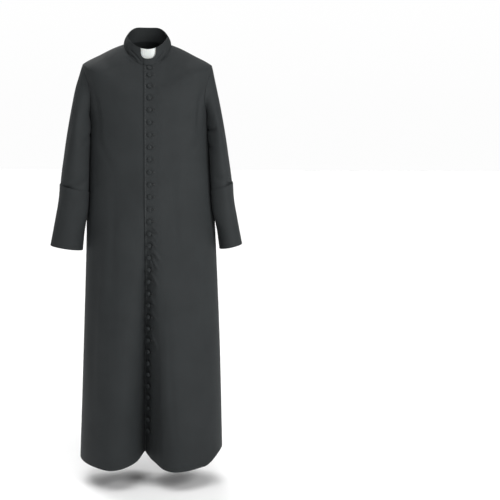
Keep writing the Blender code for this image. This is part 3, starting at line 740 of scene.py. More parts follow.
def lap_push(from_edge, x, z):
    """How far the left front is pushed out by what it laps over and by its buttons."""
    lap = LAP_RISE * (1 - ease((from_edge - LAP_WIDTH) / LAP_FADE))
    pulls = np.maximum(crease_push(BUTTON_PULLS, x, z), 0.0)
    return lap + pulls - dimples(x, z) + np.maximum(crease_push(WAIST_PULLS, x, z), -PULL_SINK)


def panel_points(side, face):
    """A panel's outer and inner points and its UVs."""
    angles, lengths = panel_grid(side, face)
    heights = np.repeat(STATIONS[:, None], angles.shape[1], axis=1)
    heights[-1] -= SEAM_GAP
    out, around, _ = body_directions(angles, heights)
    outer = body_point(angles, heights)
    x, z = outer[..., 0], outer[..., 2]
    seam, middle = (0, -1) if (side > 0) == (face == "back") else (-1, 0)  # their columns
    from_seam = np.abs(lengths - lengths[:, [seam]])
    near_tip = bell(heights - SHOULDER_TIP, TIP_REACH)
    push = crease_push(PANEL_CREASES[face], x, z) * ease(from_seam / CREASE_CALM)
    push = push - seam_dip(from_seam) * (1 - TIP_CALM * near_tip) - seam_dip(NECKLINE - heights)
    if face == "back":
        grain = lengths - lengths[:, [middle]]
        push = push - seam_dip(np.abs(grain))
    else:
        grain = lengths - LEFT_EDGES[:, None]
        if side > 0:
            push = push + lap_push(grain, x, z)
    outer = outer + out * push[..., None]
    inner = outer - out * CLOTH
    sewn_flat = (STATIONS < ARMPIT) | (STATIONS > SHOULDER_TIP)
    for column in (seam, middle) if face == "back" else (seam,):
        inner[sewn_flat, column] += around[sewn_flat, column] * SEAM_SLANT
    return outer, inner, np.stack([grain, heights], axis=-1)


PANELS, PANEL_POINTS = {}, {}
for word, side in SIDES.items():
    for face in COLUMNS:
        name = f"{face}_{word}"
        PANEL_POINTS[name] = panel_points(side, face)
        PANELS[name] = cloth_wall(f"cloth_{name}", *PANEL_POINTS[name], SUITING)
print("panels:", {name: len(piece.data.vertices) for name, piece in PANELS.items()})

# %% [markdown]
# ## The sleeves
# A set-in sleeve starts as the outline of its armhole and soon becomes an oval tube. Its table gives
# ten ovals from the shoulder to the wrist; a smooth curve through each point of them gives the rings
# in between. Over the shoulder the sleeve's end is cut as a mitre, so that it meets the armhole with
# a thin, even seam. Bending a straight tube along a curve would be simpler, but it wouldn't meet the
# armhole.

# %% Measures of the sleeves
# top_x, top_z: the oval's outermost point. under_z: the height of its point beside the body. clear:
# how far that one is from the body's side. mid_y: the depth of its middle. half_depth: half its
# size from front to back. sway: how far the outermost point is moved to the wearer's left.
ARM_SWAY = -0.0105  # both arms' outer sides hang this far to the wearer's right
SleeveRing = namedtuple("SleeveRing", "top_x top_z under_z clear mid_y half_depth sway")
SLEEVE_RINGS = (
    SleeveRing(0.2247, -0.090, -0.274, 0.0028, 0.000, 0.070, -0.0082),
    SleeveRing(0.2375, -0.140, -0.290, 0.0020, -0.008, 0.079, ARM_SWAY),
    SleeveRing(0.2485, -0.195, -0.314, 0.0010, -0.017, 0.085, ARM_SWAY),
    SleeveRing(0.2585, -0.250, -0.345, 0.0002, -0.025, 0.087, ARM_SWAY),
    SleeveRing(0.2685, -0.310, -0.380, -0.0002, -0.031, 0.085, ARM_SWAY),
    SleeveRing(0.2772, -0.370, -0.420, -0.0002, -0.035, 0.080, ARM_SWAY),
    SleeveRing(0.2872, -0.440, -0.470, 0.0006, -0.037, 0.073, ARM_SWAY),
    SleeveRing(0.2930, -0.510, -0.532, 0.0034, -0.039, 0.065, ARM_SWAY),
    SleeveRing(0.3070, -0.587, -0.606, 0.0060, -0.041, 0.057, ARM_SWAY),
    SleeveRing(0.3232, -0.670, -0.686, 0.0120, -0.043, 0.050, ARM_SWAY),
)
CAP_BLEND = 3  # the armhole's outline fades out over this many rings
AROUND = 2 * ARMHOLE_ROWS
SIDE_SAMPLES = 300
TURN = np.arange(AROUND) * 2 * math.pi / AROUND  # round a sleeve, from the body over the front


def armhole_rim(side):
    """The sleeve's first ring, one seam gap inside the armhole, and the ways into the armhole."""
    rows = STATIONS[FIRST_ARMHOLE_ROW : FIRST_ARMHOLE_ROW + ARMHOLE_ROWS + 1]
    front = [(math.pi / 2 - armhole_half_angle(s, "front"), s, 1) for s in rows]
    back = [(math.pi / 2 + armhole_half_angle(s, "back"), s, -1) for s in rows[-2:0:-1]]
    rim, ways_in = [], []
    for angle, station, turn in front + back:
        out, around, up = body_directions(side * angle, station)
        if station == rows[0]:
            way_in = up
        elif station == rows[-1]:
            way_in = -up
        else:
            way_in = around * side * turn
        ways_in.append(way_in)
        rim.append(body_point(side * angle, station) + (way_in + out) * SEAM_GAP)
    return np.array(rim), np.array(ways_in)


def body_side(side, height):
    """The body's sideways reach at a height, on one side."""
    table = np.linspace(0.0, SHOULDER_TIP, SIDE_SAMPLES)
    station = np.interp(height, BODY["side"](table), table)
    return side * BODY["width"](station) + BODY["sway"](station)


def sleeve_oval(side, row):
    """One oval of the sleeve, from its edge beside the body round the front to the outside."""
    top_x = side * row.top_x + row.sway
    under_x = body_side(side, row.under_z) + side * row.clear
    x = (top_x + under_x - (top_x - under_x) * np.cos(TURN)) / 2
    y = row.mid_y - row.half_depth * np.sin(TURN)
    z = (row.top_z + row.under_z - (row.top_z - row.under_z) * np.cos(TURN)) / 2
    return np.stack([x, y, z], axis=-1)


def main_rings(side, rim):
    """The armhole's rim and the ten ovals, the first few of them blended with the rim's outline."""
    rings = [rim]
    top = len(rim) // 2
    to_top = (1 - np.cos(TURN))[:, None] / 2
    for place, row in enumerate(SLEEVE_RINGS):
        oval = sleeve_oval(side, row)
        share = ease((place + 1) / (CAP_BLEND + 1))
        shift = (oval[0] - rim[0]) * (1 - to_top) + (oval[top] - rim[top]) * to_top
        rings.append((rim + shift) * (1 - share) + oval * share)
    return np.array(rings)


def between_rings(rings, places):
    """Rings at in-between places, on a smooth curve through the given ones."""
    slope = np.gradient(rings, axis=0)
    i = np.clip(places.astype(int), 0, len(rings) - 2)
    return blend((places - i)[:, None, None], rings[i], rings[i + 1], slope[i], slope[i + 1])


def tube_lengths(grid):
    """UVs of a tube of rings: the length around it, with one column more to close it, and down."""
    around = lengths_along(np.concatenate([grid, grid[:, :1]], axis=1))
    down = lengths_down(grid).mean(axis=1)
    return np.stack([around, np.repeat(down[:, None], around.shape[1], axis=1)], axis=-1)


print("rings in a sleeve's table:", len(SLEEVE_RINGS))

# %% Creases of the sleeves, in metres around from the body's side over the front, and down
SLEEVE_CREASES = {
    "left": (
        Crease(0.030, 0.020, 0.120, 0.110, 0.010, 0.0110, 0.0054),
        Crease(0.020, 0.060, 0.090, 0.180, 0.008, 0.0130, 0.0036),
        Crease(0.160, 0.050, 0.170, 0.230, 0.012, 0.0160, 0.0020),
        Crease(0.060, 0.250, 0.160, 0.320, 0.008, 0.0150, 0.0038),
        Crease(0.080, 0.330, 0.165, 0.300, -0.006, 0.0130, 0.0030),
        Crease(0.110, 0.350, 0.140, 0.480, 0.006, 0.0140, 0.0024),
        Crease(0.300, 0.060, 0.270, 0.200, 0.010, 0.0150, 0.0030),
        Crease(0.340, 0.040, 0.330, 0.160, 0.006, 0.0120, 0.0040),
        Crease(0.220, 0.280, 0.280, 0.340, 0.008, 0.0150, 0.0030),
        Crease(0.200, 0.380, 0.230, 0.500, -0.005, 0.0140, 0.0022),
    ),
    "right": (
        Crease(0.030, 0.030, 0.100, 0.150, 0.010, 0.0130, 0.0030),
        Crease(0.150, 0.060, 0.165, 0.260, -0.010, 0.0200, 0.0012),
        Crease(0.050, 0.270, 0.150, 0.330, 0.009, 0.0150, 0.0040),
        Crease(0.070, 0.360, 0.150, 0.310, -0.007, 0.0130, 0.0026),
        Crease(0.020, 0.380, 0.060, 0.500, 0.006, 0.0150, 0.0036),
        Crease(0.310, 0.050, 0.280, 0.210, 0.010, 0.0150, 0.0030),
        Crease(0.350, 0.030, 0.335, 0.150, 0.006, 0.0120, 0.0036),
        Crease(0.230, 0.300, 0.290, 0.350, 0.007, 0.0150, 0.0028),
        Crease(0.210, 0.400, 0.240, 0.520, -0.005, 0.0140, 0.0020),
    ),
}
print("sleeve creases:", {word: len(rows) for word, rows in SLEEVE_CREASES.items()})


# %% How the sleeves drape against the body
CUFF_TOP_RING = {"left": 7.18, "right": 7.30}  # counted with the armhole's rim as ring 0
CUFF_FOLD_RING = {"left": 9.93, "right": 9.98}
HUG = 0.016  # the sleeve's inner front sinks this far towards the body
HUG_PLACE = 0.65  # the angle round the sleeve where it sinks most, from the body's side
HUG_WIDTH = 0.60
HUG_TOP, HUG_TOP_FADE = -0.120, 0.16  # where it begins, and how far below that it is full
HUG_BOTTOM, HUG_BOTTOM_FADE = -0.640, 0.10  # where it ends, and how far above that it is full
BODY_AIR = 0.0014  # from the body's outer face to the sleeve's outer face, at the least
CUFF_ROOM = 0.0046  # this much more where there is a cuff
CUFF_ROOM_START, CUFF_ROOM_FADE = 0.6, 0.5  # in rings, above the cuff's edge and down from there
ROUNDS = 6  # enough for a point's station on the body to settle


def clear_of_body(points, air):
    """The points, moved out from the body's middle line where they lie nearer than air to it."""
    station = np.clip(points[..., 2] - HEM_HEIGHT, 0.0, NECKLINE)
    for _ in range(ROUNDS):
        middle = np.stack([BODY["sway"](station), np.zeros(station.shape)], axis=-1)
        spoke = points[..., :2] - middle
        surface = body_point(np.arctan2(spoke[..., 0], -spoke[..., 1]), station)
        station = np.clip(station + points[..., 2] - surface[..., 2], 0.0, NECKLINE)
    reach = np.linalg.norm(surface[..., :2] - middle, axis=-1) + air
    own = np.linalg.norm(spoke, axis=-1)
    flat = middle + spoke * (np.maximum(reach, own) / own)[..., None]
    return np.concatenate([flat, points[..., 2:]], axis=-1)


def hug(grid, side, places, word, near=1.0):
    """A sleeve's rings with their inner fronts draped towards the body's side. near: 1 where the
    cloth must be clear of the body, and 0 where it is sewn to it."""
    under_cuff = ease((places - CUFF_TOP_RING[word] + CUFF_ROOM_START) / CUFF_ROOM_FADE)[:, None]
    height = grid[..., 2]
    share = bell(TURN - HUG_PLACE, HUG_WIDTH) * ease((HUG_TOP - height) / HUG_TOP_FADE)
    draped = grid.copy()
    draped[..., 0] -= side * HUG * share * ease((height - HUG_BOTTOM) / HUG_BOTTOM_FADE)
    air = BODY_AIR + CUFF_ROOM * under_cuff
    return draped + (clear_of_body(draped, air) - draped) * near


print("the sleeves sink towards the body by up to", HUG * 1000, "mm")

# %% The sleeves
SLEEVE_SHORT = 0.035  # the sleeve ends this part of a ring above the fold of its cuff
SEAM_RINGS = [0.0, 0.03, 0.07, 0.12, 0.18]  # close together beside the armhole seam
FREE_START, FREE_RINGS = 0.26, 88  # the evenly spaced rings below them: the first, and how many
SLEEVE_DIP = 0.0006  # how far the sleeve sinks into the armhole seam
FREE_AFTER = 0.02  # this far from the armhole seam the sleeve is clear of the body
DRAPED_AFTER = 0.03  # and this far from it the sleeve drapes fully
HEAD_ROLL = 0.0004  # the sleeve head's roll beside the armhole seam
HEAD_ROLL_PLACE, HEAD_ROLL_WIDTH = 0.011, 0.009
HEAD_ROLL_START = 0.4  # more would keep the roll to the uppermost part of the armhole
TUCK = 0.0016  # how deep the sleeve's front sinks just outside the armhole seam
TUCK_PLACE, TUCK_WIDTH = 0.0075, 0.0050
TUCK_TOP, TUCK_TOP_FADE = -0.13, 0.07  # where it begins, and how far below that it is full
TUCK_FRONT, TUCK_FRONT_FADE = -0.02, 0.03  # where it begins, and how far ahead of that it is full


def sleeve_push(word, rim, around, down):
    """How far a sleeve's creases, its head's roll, its seam and its tuck push it out."""
    settled = ease(down / FREE_AFTER)
    climb = (rim[:, 2] - rim[0, 2]) / (rim[:, 2].max() - rim[0, 2])
    over_shoulder = ease(climb * (1 + HEAD_ROLL_START) - HEAD_ROLL_START)
    roll = HEAD_ROLL * bell(down - HEAD_ROLL_PLACE, HEAD_ROLL_WIDTH) * over_shoulder
    ahead = ease((TUCK_FRONT - rim[:, 1]) / TUCK_FRONT_FADE)
    in_front = ease((TUCK_TOP - rim[:, 2]) / TUCK_TOP_FADE) * ahead
    tuck = TUCK * bell(down - TUCK_PLACE, TUCK_WIDTH) * ease(down / TUCK_PLACE) * in_front
    creased = crease_push(SLEEVE_CREASES[word], around, down)
    return (creased + roll) * settled - seam_dip(down, SLEEVE_DIP) - tuck


def make_sleeve(word, side):
    """The sleeve as one piece of cloth, and its main rings for the cuff."""
    rim, ways_in = armhole_rim(side)
    rings = main_rings(side, rim)
    end = CUFF_FOLD_RING[word] - SLEEVE_SHORT
    places = np.concatenate([SEAM_RINGS, np.linspace(FREE_START, end, FREE_RINGS)])
    grid = between_rings(rings, places)
    from_seam = lengths_down(grid)[..., None]
    draped = hug(grid, side, places, word, ease(from_seam / FREE_AFTER))
    grid = grid + (draped - grid) * ease(from_seam / DRAPED_AFTER)
    uv = tube_lengths(grid)
    normals = grid_normals(grid) * -side
    outer = grid + normals * sleeve_push(word, rim, uv[:, :-1, 0], uv[:, :-1, 1])[..., None]
    inner = outer - normals * CLOTH
    way_down = unit(grid[1] - grid[0])
    short = np.sum(normals[0] * ways_in, axis=1)  # the mitre: the inner edge stops short of the seam
    slide = np.where(short > 0, CLOTH * short / np.sum(way_down * ways_in, axis=1), 0.0)
    inner[0] += way_down * slide[:, None]
    return cloth_wall(f"cloth_sleeve_{word}", outer, inner, uv, SUITING, ring=True), rings


SLEEVES, SLEEVE_MAIN_RINGS = {}, {}
for word, side in SIDES.items():
    SLEEVES[word], SLEEVE_MAIN_RINGS[word] = make_sleeve(word, side)
print("points in a sleeve:", len(SLEEVES["left"].data.vertices))

# %% [markdown]
# ## The cuffs
# The cuff is a deep band turned back over the sleeve. Its free upper edge gapes a little on the
# outside of the arm, which gives the dark line that shows it is a separate layer, and its lower
# corner crumples where the arm rests against the skirt.

# %% The cuffs
CUFF_RINGS = 34
CUFF_AIR = 0.0009  # between the sleeve and the cuff around it
CUFF_FLARE = 0.0002  # how much further away its free upper edge stands, all round
CUFF_GAPE = {"left": 0.0012, "right": 0.0002}  # and on the outside of the arm
CUFF_GAPE_MIDDLE = 0.42  # where it gapes most, as a share of the way round
GAPE_NARROW = 1.5  # how closely it keeps to that place
GAPE_LATE = 2.5  # how near the free edge it opens
CUFF_CREASE_LIMIT = 0.0004  # a crease goes no deeper, or the cuff would touch its sleeve
CUFF_CREASES = {
    "left": (
        Crease(0.010, 0.110, 0.060, 0.155, 0.004, 0.0070, 0.0030),
        Crease(0.020, 0.090, 0.050, 0.140, -0.003, 0.0060, 0.0024),
        Crease(0.110, 0.020, 0.120, 0.120, 0.005, 0.0140, 0.0016),
    ),
    "right": (
        Crease(0.008, 0.115, 0.055, 0.160, 0.004, 0.0070, 0.0030),
        Crease(0.018, 0.060, 0.045, 0.110, -0.004, 0.0080, 0.0020),
        Crease(0.100, 0.030, 0.115, 0.130, -0.005, 0.0140, 0.0018),
    ),
}


def make_cuff(word, side):
    """The cuff, on the sleeve's own rings and moved out."""
    places = np.linspace(CUFF_TOP_RING[word], CUFF_FOLD_RING[word], CUFF_RINGS)
    grid = hug(between_rings(SLEEVE_MAIN_RINGS[word], places), side, places, word)
    uv = tube_lengths(grid)
    normals = grid_normals(grid) * -side
    free = np.linspace(1.0, 0.0, len(places))[:, None]
    outside = np.clip(np.cos(TURN - CUFF_GAPE_MIDDLE * 2 * math.pi), 0.0, 1.0) ** GAPE_NARROW
    lift = CUFF_AIR + CUFF_FLARE * free**2 + CUFF_GAPE[word] * free**GAPE_LATE * outside
    push = crease_push(CUFF_CREASES[word], uv[:, :-1, 0], uv[:, :-1, 1])
    inner = grid + normals * (lift + np.maximum(push, -CUFF_CREASE_LIMIT))[..., None]
    outer = inner + normals * CLOTH
    return cloth_wall(f"cloth_cuff_{word}", outer, inner, uv, SUITING, ring=True)


CUFFS = {word: make_cuff(word, side) for word, side in SIDES.items()}
print("points in a cuff:", len(CUFFS["left"].data.vertices))

# %% [markdown]
# ## The collar and its tab
# The standing collar is two layers of cloth with canvas between them, so it is thicker and stiffer
# than the rest, and it leans in towards the neck. Its front is cut down to show a white tab that
# stands inside it. Its foot follows the neck seam exactly.

# %% Measures of the collar
CollarRing = namedtuple("CollarRing", "share side front back width depth_front depth_back")
COLLAR_RINGS = (  # share: 0 at the neck seam, 1 at the top edge. The rest is as for the body.
    CollarRing(0 / 3, 0.0060, -0.066, 0.020, 0.0800, 0.0790, 0.0670),
    CollarRing(1 / 3, 0.0175, -0.049, 0.034, 0.0775, 0.0785, 0.0645),
    CollarRing(2 / 3, 0.0275, -0.031, 0.050, 0.0735, 0.0775, 0.0615),
    CollarRing(3 / 3, 0.0360, -0.011, 0.066, 0.0685, 0.0760, 0.0580),
)
FOOT, TOP = COLLAR_RINGS[0], COLLAR_RINGS[-1]
COLLAR = smooth_columns(COLLAR_RINGS, "share")
COLLAR_LEVEL = 0.92  # over this share of the way from the sides to the back, its top edge rises
GAP_MIDDLE = -0.0042
GAP_HALF = 0.0254
GAP_DEPTH = 0.57
GAP_SQUARE = 3.4  # 2 would make the gap's foot a half ellipse, and more squares its corners


def collar_point(angle, share):
    """A point of the collar's outer face. share: 0 at the neck seam, 1 at the top edge."""
    angle, share = np.broadcast_arrays(angle, share)
    across, ahead = np.sin(angle), np.cos(angle)
    front = ahead >= 0
    depth = np.where(front, COLLAR["depth_front"](share), COLLAR["depth_back"](share))
    radius = 1 / np.hypot(across / COLLAR["width"](share), ahead / depth)
    side = COLLAR["side"](share)
    end = np.where(front, COLLAR["front"](share), COLLAR["back"](share))
    tilt = np.abs(ahead) ** TILT_POWER
    level = np.where(front, tilt, ease(np.abs(ahead) / COLLAR_LEVEL))
    z = side + (end - side) * (tilt + (level - tilt) * share)
    return np.stack([radius * across + UPPER_SWAY, -radius * ahead, z], axis=-1)


def collar_normals(angle, share):
    """The directions out of the collar."""
    turn, rise = 1e-3, 0.05
    around = collar_point(angle + turn, share) - collar_point(angle - turn, share)
    above, below = np.minimum(share + rise, 1), np.maximum(share - rise, 0)
    return unit(np.cross(around, collar_point(angle, above) - collar_point(angle, below)))


def gap_depth(x):
    """How far the collar's top edge drops at a distance from the gap's middle, as a share."""
    inside = np.clip(1 - (np.abs(x) / GAP_HALF) ** GAP_SQUARE, 0.0, 1.0)
    return GAP_DEPTH * inside ** (1 / GAP_SQUARE)


print("collar height at the back:", round(TOP.back - FOOT.back, 3), "m")

# %% The collar and the tab
COLLAR_WALL = 0.0024
COLLAR_PROUD = 0.0004  # its outer face stands this far outside the body's
COLLAR_END_RISE = 0.0034  # the left end rides over the right one
COLLAR_END_FADE = 0.035
COLLAR_UNDERLAP = 0.016
GAP_MARGIN = 0.004  # the columns are close together as far as this from the gap
COLLAR_COLUMNS = (56, 150, 66)  # in front on the left, round the back, in front on the right
COLLAR_ROWS = 21
TAB_ROWS, TAB_COLUMNS = 16, 60
NECK_SAMPLE = NECKLINE - 0.001  # where the body's slope at the neck seam is measured
TAB_HALF_WIDTH = 0.040
TAB_WALL = 0.0010
TAB_AIR = 0.0034  # between the collar's inner face and the tab
TAB_LOW, TAB_HIGH = 0.16, 0.985  # shares of the collar's height


def collar_angles(start):
    """The angles of the collar's columns, from its left end round to the right one."""
    reach = math.asin((GAP_HALF + GAP_MARGIN) / TOP.depth_front)
    end = start + 2 * math.pi + COLLAR_UNDERLAP / FOOT.depth_front
    bounds = (start, reach, 2 * math.pi - reach, end)
    runs = [np.linspace(*bounds[i : i + 2], COLLAR_COLUMNS[i]) for i in range(3)]
    return np.concatenate([runs[0][:-1], runs[1][:-1], runs[2]])


def upright_wall(name, grid, out, push, thickness, material):
    """A wall of the collar's kind: a grid moved out by push, and its flat sizes for UVs."""
    outer = grid + out * push
    uv = np.stack([lengths_along(grid), lengths_down(grid)], axis=-1)
    return cloth_wall(name, outer, outer - out * thickness, uv, material)


def make_collar():
    """The standing collar, from the left front's edge right round and under itself."""
    start = float(np.interp(LEFT_EDGES[-1], RINGS[-1][1], RINGS[-1][0]))
    angle = collar_angles(start)
    x_at_top = collar_point(angle, 1.0)[:, 0] - GAP_MIDDLE
    top = 1 - np.where(np.cos(angle) > 0, gap_depth(x_at_top), 0.0)
    shares = np.linspace(0.0, 1.0, COLLAR_ROWS)[:, None] * top
    angles = np.broadcast_to(angle, shares.shape)
    grid = collar_point(angles, shares)
    out = collar_normals(angles, shares)
    out[0], _, body_up = body_directions(angle, NECK_SAMPLE)
    grid[0] = body_point(angle, NECKLINE) + body_up * SEAM_GAP
    along = (angle - start) * FOOT.depth_front
    rise = COLLAR_END_RISE * (1 - ease((along - COLLAR_UNDERLAP) / COLLAR_END_FADE))
    creased = crease_push(COLLAR_CREASES, grid[..., 0], grid[..., 2])
    push = COLLAR_PROUD + rise + np.where(np.cos(angles) > 0, creased, 0.0)
    return upright_wall("cloth_collar", grid, out, push[..., None], COLLAR_WALL, SUITING)


def make_tab():
    """The white tab, a strip inside the collar that follows its curve."""
    reach = math.asin(TAB_HALF_WIDTH / TOP.depth_front)
    share = np.linspace(TAB_LOW, TAB_HIGH, TAB_ROWS)[:, None]
    angles, shares = np.broadcast_arrays(np.linspace(-reach, reach, TAB_COLUMNS), share)
    grid, out = collar_point(angles, shares), collar_normals(angles, shares)
    push = COLLAR_PROUD - COLLAR_WALL - TAB_AIR
    return upright_wall("moulded_collar_tab", grid, out, push, TAB_WALL, TAB_PLASTIC)


COLLAR_PIECE = make_collar()
TAB_PIECE = make_tab()
print("points in the collar:", len(COLLAR_PIECE.data.vertices))

# %% [markdown]
# ## Edges that turn instead of being cut
# A free edge of a garment is a fold, not a cut, so its corner is round. A Bevel modifier rounds just
# the sharp corners and leaves the rest of the mesh alone.

# %% Rounding the folded edges
EDGE_ROUNDNESS = 0.0005
TAB_ROUNDNESS = 0.0003  # the tab is thinner
CORNER = math.radians(60)  # only edges at which the faces turn by more than this are rounded
for piece in (PANELS["front_left"], PANELS["front_right"], *CUFFS.values(), COLLAR_PIECE, TAB_PIECE):
    rounding = piece.modifiers.new("folded_edge", "BEVEL")
    rounding.width = TAB_ROUNDNESS if piece is TAB_PIECE else EDGE_ROUNDNESS
    rounding.segments = 2
    rounding.limit_method = "ANGLE"
    rounding.angle_limit = CORNER
print("edges rounded to", EDGE_ROUNDNESS * 1000, "mm")

# %% [markdown]
# ## Covered buttons
# Each button is a small domed shell with the suiting stretched over it and gathered behind. A
# profile turned round an axis gives the dome. The gathers are small waves along the rim, and they
# are what tells a covered button from a moulded one.

# %% One covered button, placed on each button's node
BUTTON_RADIUS = 0.0075
BUTTON_HEIGHT = 0.0050
BUTTON_SINK = 0.0005  # how far a button beds into the cloth
BUTTON_TURNS = 30  # points round each ring
DOME_RINGS = 8
BUTTON_FOOT = ((0.50, 0.0), (0.50, 0.22), (0.80, 0.24), (0.95, 0.32))  # shares of the two sizes
DOME_START = 0.44  # the share of the height where the dome begins
GATHERS = 10
GATHER_DEPTH = 0.018
GATHER_PLACE, GATHER_WIDTH = 0.36, 0.14  # shares of the height
CLOTH_SHIFT = 0.013  # each button's cover is cut from another place of the cloth


def covered_button(name, centre, out, number):
    """A domed button whose flat back lies at centre and which faces out."""
    turn = np.arange(BUTTON_TURNS) * 2 * math.pi / BUTTON_TURNS
    lean = np.linspace(0.0, math.pi / 2, DOME_RINGS + 1)[:-1]
    dome = np.stack([np.cos(lean), DOME_START + (1 - DOME_START) * np.sin(lean)], axis=-1)
    radii, heights = np.concatenate([BUTTON_FOOT, dome]).T[..., None]
    rim = bell(heights - GATHER_PLACE, GATHER_WIDTH)
    wave = 1 + GATHER_DEPTH * rim * np.cos(GATHERS * turn + number)
    x, y = (radii * BUTTON_RADIUS * wave * way for way in (np.cos(turn), np.sin(turn)))
    z = np.broadcast_to(heights * BUTTON_HEIGHT, x.shape)
    rings = np.stack([x, y, z], axis=-1).reshape(-1, 3)
    row, column = np.divmod(wall_places(len(radii), BUTTON_TURNS, ring=True)[0], BUTTON_TURNS + 1)
    sides = (row * BUTTON_TURNS + column % BUTTON_TURNS).tolist()
    top = len(rings)
    last = top - BUTTON_TURNS  # where the highest ring starts
    crown = [[last + k, last + (k + 1) % BUTTON_TURNS, top] for k in range(BUTTON_TURNS)]
    faces = sides + crown + [list(range(BUTTON_TURNS))[::-1]]
    points = np.concatenate([rings, [[0.0, 0.0, BUTTON_HEIGHT]]])
    facing = np.array(Vector(out).to_track_quat("Z", "Y").to_matrix())
    placed = points @ facing.T + centre - out * BUTTON_SINK
    flat = points[[place for face in faces for place in face], :2] + number * CLOTH_SHIFT
    return new_piece(name, placed, faces, BUTTON_CLOTH, flat)


BUTTON_PIECES = [
    covered_button(f"covered_{name}", *place, number)
    for number, (name, place) in enumerate(zip(BUTTONS, BUTTON_PLACES))
]
print("covered buttons:", len(BUTTON_PIECES))

# %% [markdown]
# ## Stitching
# Two kinds of sewing show on the front: a row of topstitches beside the left front's edge, and a
# worked buttonhole at each button. A stitch is a short thread that dips into the cloth at both ends.
# Real thread is about 0.25 mm thick and its stitches 3 mm long; both are drawn coarser, so that they
# can be seen at all.

# %% Short threads on the cloth
THREAD_RADIUS = 0.00050
THREAD_SIDES = 5
# a stitch's rings: the share of its way, its height over the cloth and its size, in thread radii
STITCH_RINGS = ((0.0, -0.6, 0.7), (0.2, 0.6, 1.0), (0.8, 0.6, 1.0), (1.0, -0.6, 0.7))
LEFT_OUTER, _, LEFT_UV = PANEL_POINTS["front_left"]
LEFT_SURFACE = BVHTree.FromPolygons(
    [Vector(point) for point in LEFT_OUTER.reshape(-1, 3)],
    wall_places(*LEFT_OUTER.shape[:2], ring=False)[0].tolist(),
)


def thread_points(start, end):
    """A short thread between two spots on the left front, as rings of points."""
    run = unit(end - start)
    turn = np.arange(THREAD_SIDES)[:, None] * 2 * math.pi / THREAD_SIDES
    rings = []
    for share, height, size in STITCH_RINGS:
        spot, out, _, _ = LEFT_SURFACE.find_nearest(Vector(start + (end - start) * share))
        out = np.array(out)
        across = unit(np.cross(out, run))
        spokes = across * np.cos(turn) + out * np.sin(turn)
        rings.append(np.array(spot) + (out * height + spokes * size) * THREAD_RADIUS)
    return np.concatenate(rings)


def sewn(name, threads, material):
    """One mesh of many short threads, each from a start to an end on the cloth."""
    place = np.arange(len(STITCH_RINGS) * THREAD_SIDES).reshape(-1, THREAD_SIDES)
    after = np.roll(place, -1, axis=1)
    quads = np.stack([place[:-1], place[1:], after[1:], after[:-1]], axis=-1)
    faces = quads.reshape(-1, 4) + np.arange(len(threads))[:, None, None] * place.size
    points = np.concatenate([thread_points(*thread) for thread in threads])
    print(name, "has", len(threads), "threads")
    return new_piece(name, points, faces.reshape(-1, 4).tolist(), material)


# %% The topstitching and the buttonholes
TOPSTITCH_INSET = 0.0030
TOPSTITCH_START = 0.004  # above the hem
STITCH_LENGTH = 0.0060
STITCH_SPACE = 0.0036
HOLE_START = 0.0066  # from the button's centre
HOLE_END = 0.0172
HOLE_HALF_SLIT = 0.0003
HOLE_HALF_WIDTH = 0.0016
HOLE_STITCHES = 16
HOLE_BAR = 0.0006  # how far past the last stitch the bar lies that closes the hole


def topstitches():
    """Starts and ends of the stitches that run up beside the left front's edge."""
    line = np.array(
        [
            [np.interp(TOPSTITCH_INSET, inset, points[:, axis]) for axis in range(3)]
            for inset, points in zip(LEFT_UV[:, :, 0], LEFT_OUTER)
        ]
    )
    length = lengths_along(line[None])[0]
    pitch = STITCH_LENGTH + STITCH_SPACE
    starts = np.arange(TOPSTITCH_START, length[-1] - pitch, pitch)

    def spots(at):
        """Points of the line at lengths up from the hem."""
        return np.stack([np.interp(at, length, line[:, axis]) for axis in range(3)], axis=1)

    return list(zip(spots(starts), spots(starts + STITCH_LENGTH)))


def buttonhole(centre, out):
    """The bars of thread round one buttonhole, which runs level from the button to the left."""
    out = unit(out)
    level = unit(np.cross([0.0, 0.0, 1.0], out))
    up = np.cross(out, level)
    threads = []
    for at in np.linspace(HOLE_START, HOLE_END, HOLE_STITCHES):
        middle = centre + level * at
        for way in (-up, up):
            threads.append((middle + way * HOLE_HALF_SLIT, middle + way * HOLE_HALF_WIDTH))
    end = centre + level * (HOLE_END + HOLE_BAR)
    threads.append((end - up * HOLE_HALF_WIDTH, end + up * HOLE_HALF_WIDTH))
    return threads


TOPSTITCHING = sewn("topstitching", topstitches(), TOPSTITCH_THREAD_PAINTED_HIGHLIGHT)
HOLE_THREADS = [thread for place in BUTTON_PLACES for thread in buttonhole(*place)]
BUTTONHOLES = sewn("buttonholes", HOLE_THREADS, SILK_PAINTED_SHADE)

# %% [markdown]
# ## Putting each piece in its solid's place
# Each fine piece rides on the robe's body and stands in for its solid, which is hidden.

# %% Riding and replacing
FlatSize = namedtuple("FlatSize", "width length area")
CLOTH_PIECES = {
    **PANELS,
    **{f"sleeve_{word}": piece for word, piece in SLEEVES.items()},
    **{f"cuff_{word}": piece for word, piece in CUFFS.items()},
    "collar": COLLAR_PIECE,
}


def stand_in(piece, name):
    """Puts a piece in the place of a construction piece."""
    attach(piece, "root")
    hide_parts(name)


for name, piece in CLOTH_PIECES.items():
    stand_in(piece, name)
for name, piece in zip(BUTTONS, BUTTON_PIECES):
    stand_in(piece, name)
stand_in(TAB_PIECE, "collar_tab")
for piece in (TOPSTITCHING, BUTTONHOLES):
    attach(piece, "root")

# %% [markdown]
# ## Floor, light and camera
# Black cloth is best shown in white surroundings. The room gives the robe a low, even light, and a
# Light Path node keeps its wall white to the eye without lighting the cloth as much. Two wide, soft
# suns, from high in front and high behind, stand for the ceiling's lamps, and one large soft lamp
# from the front right gives the folds their shape. The camera looks slightly down from in front,
# with free room on one side of the robe.

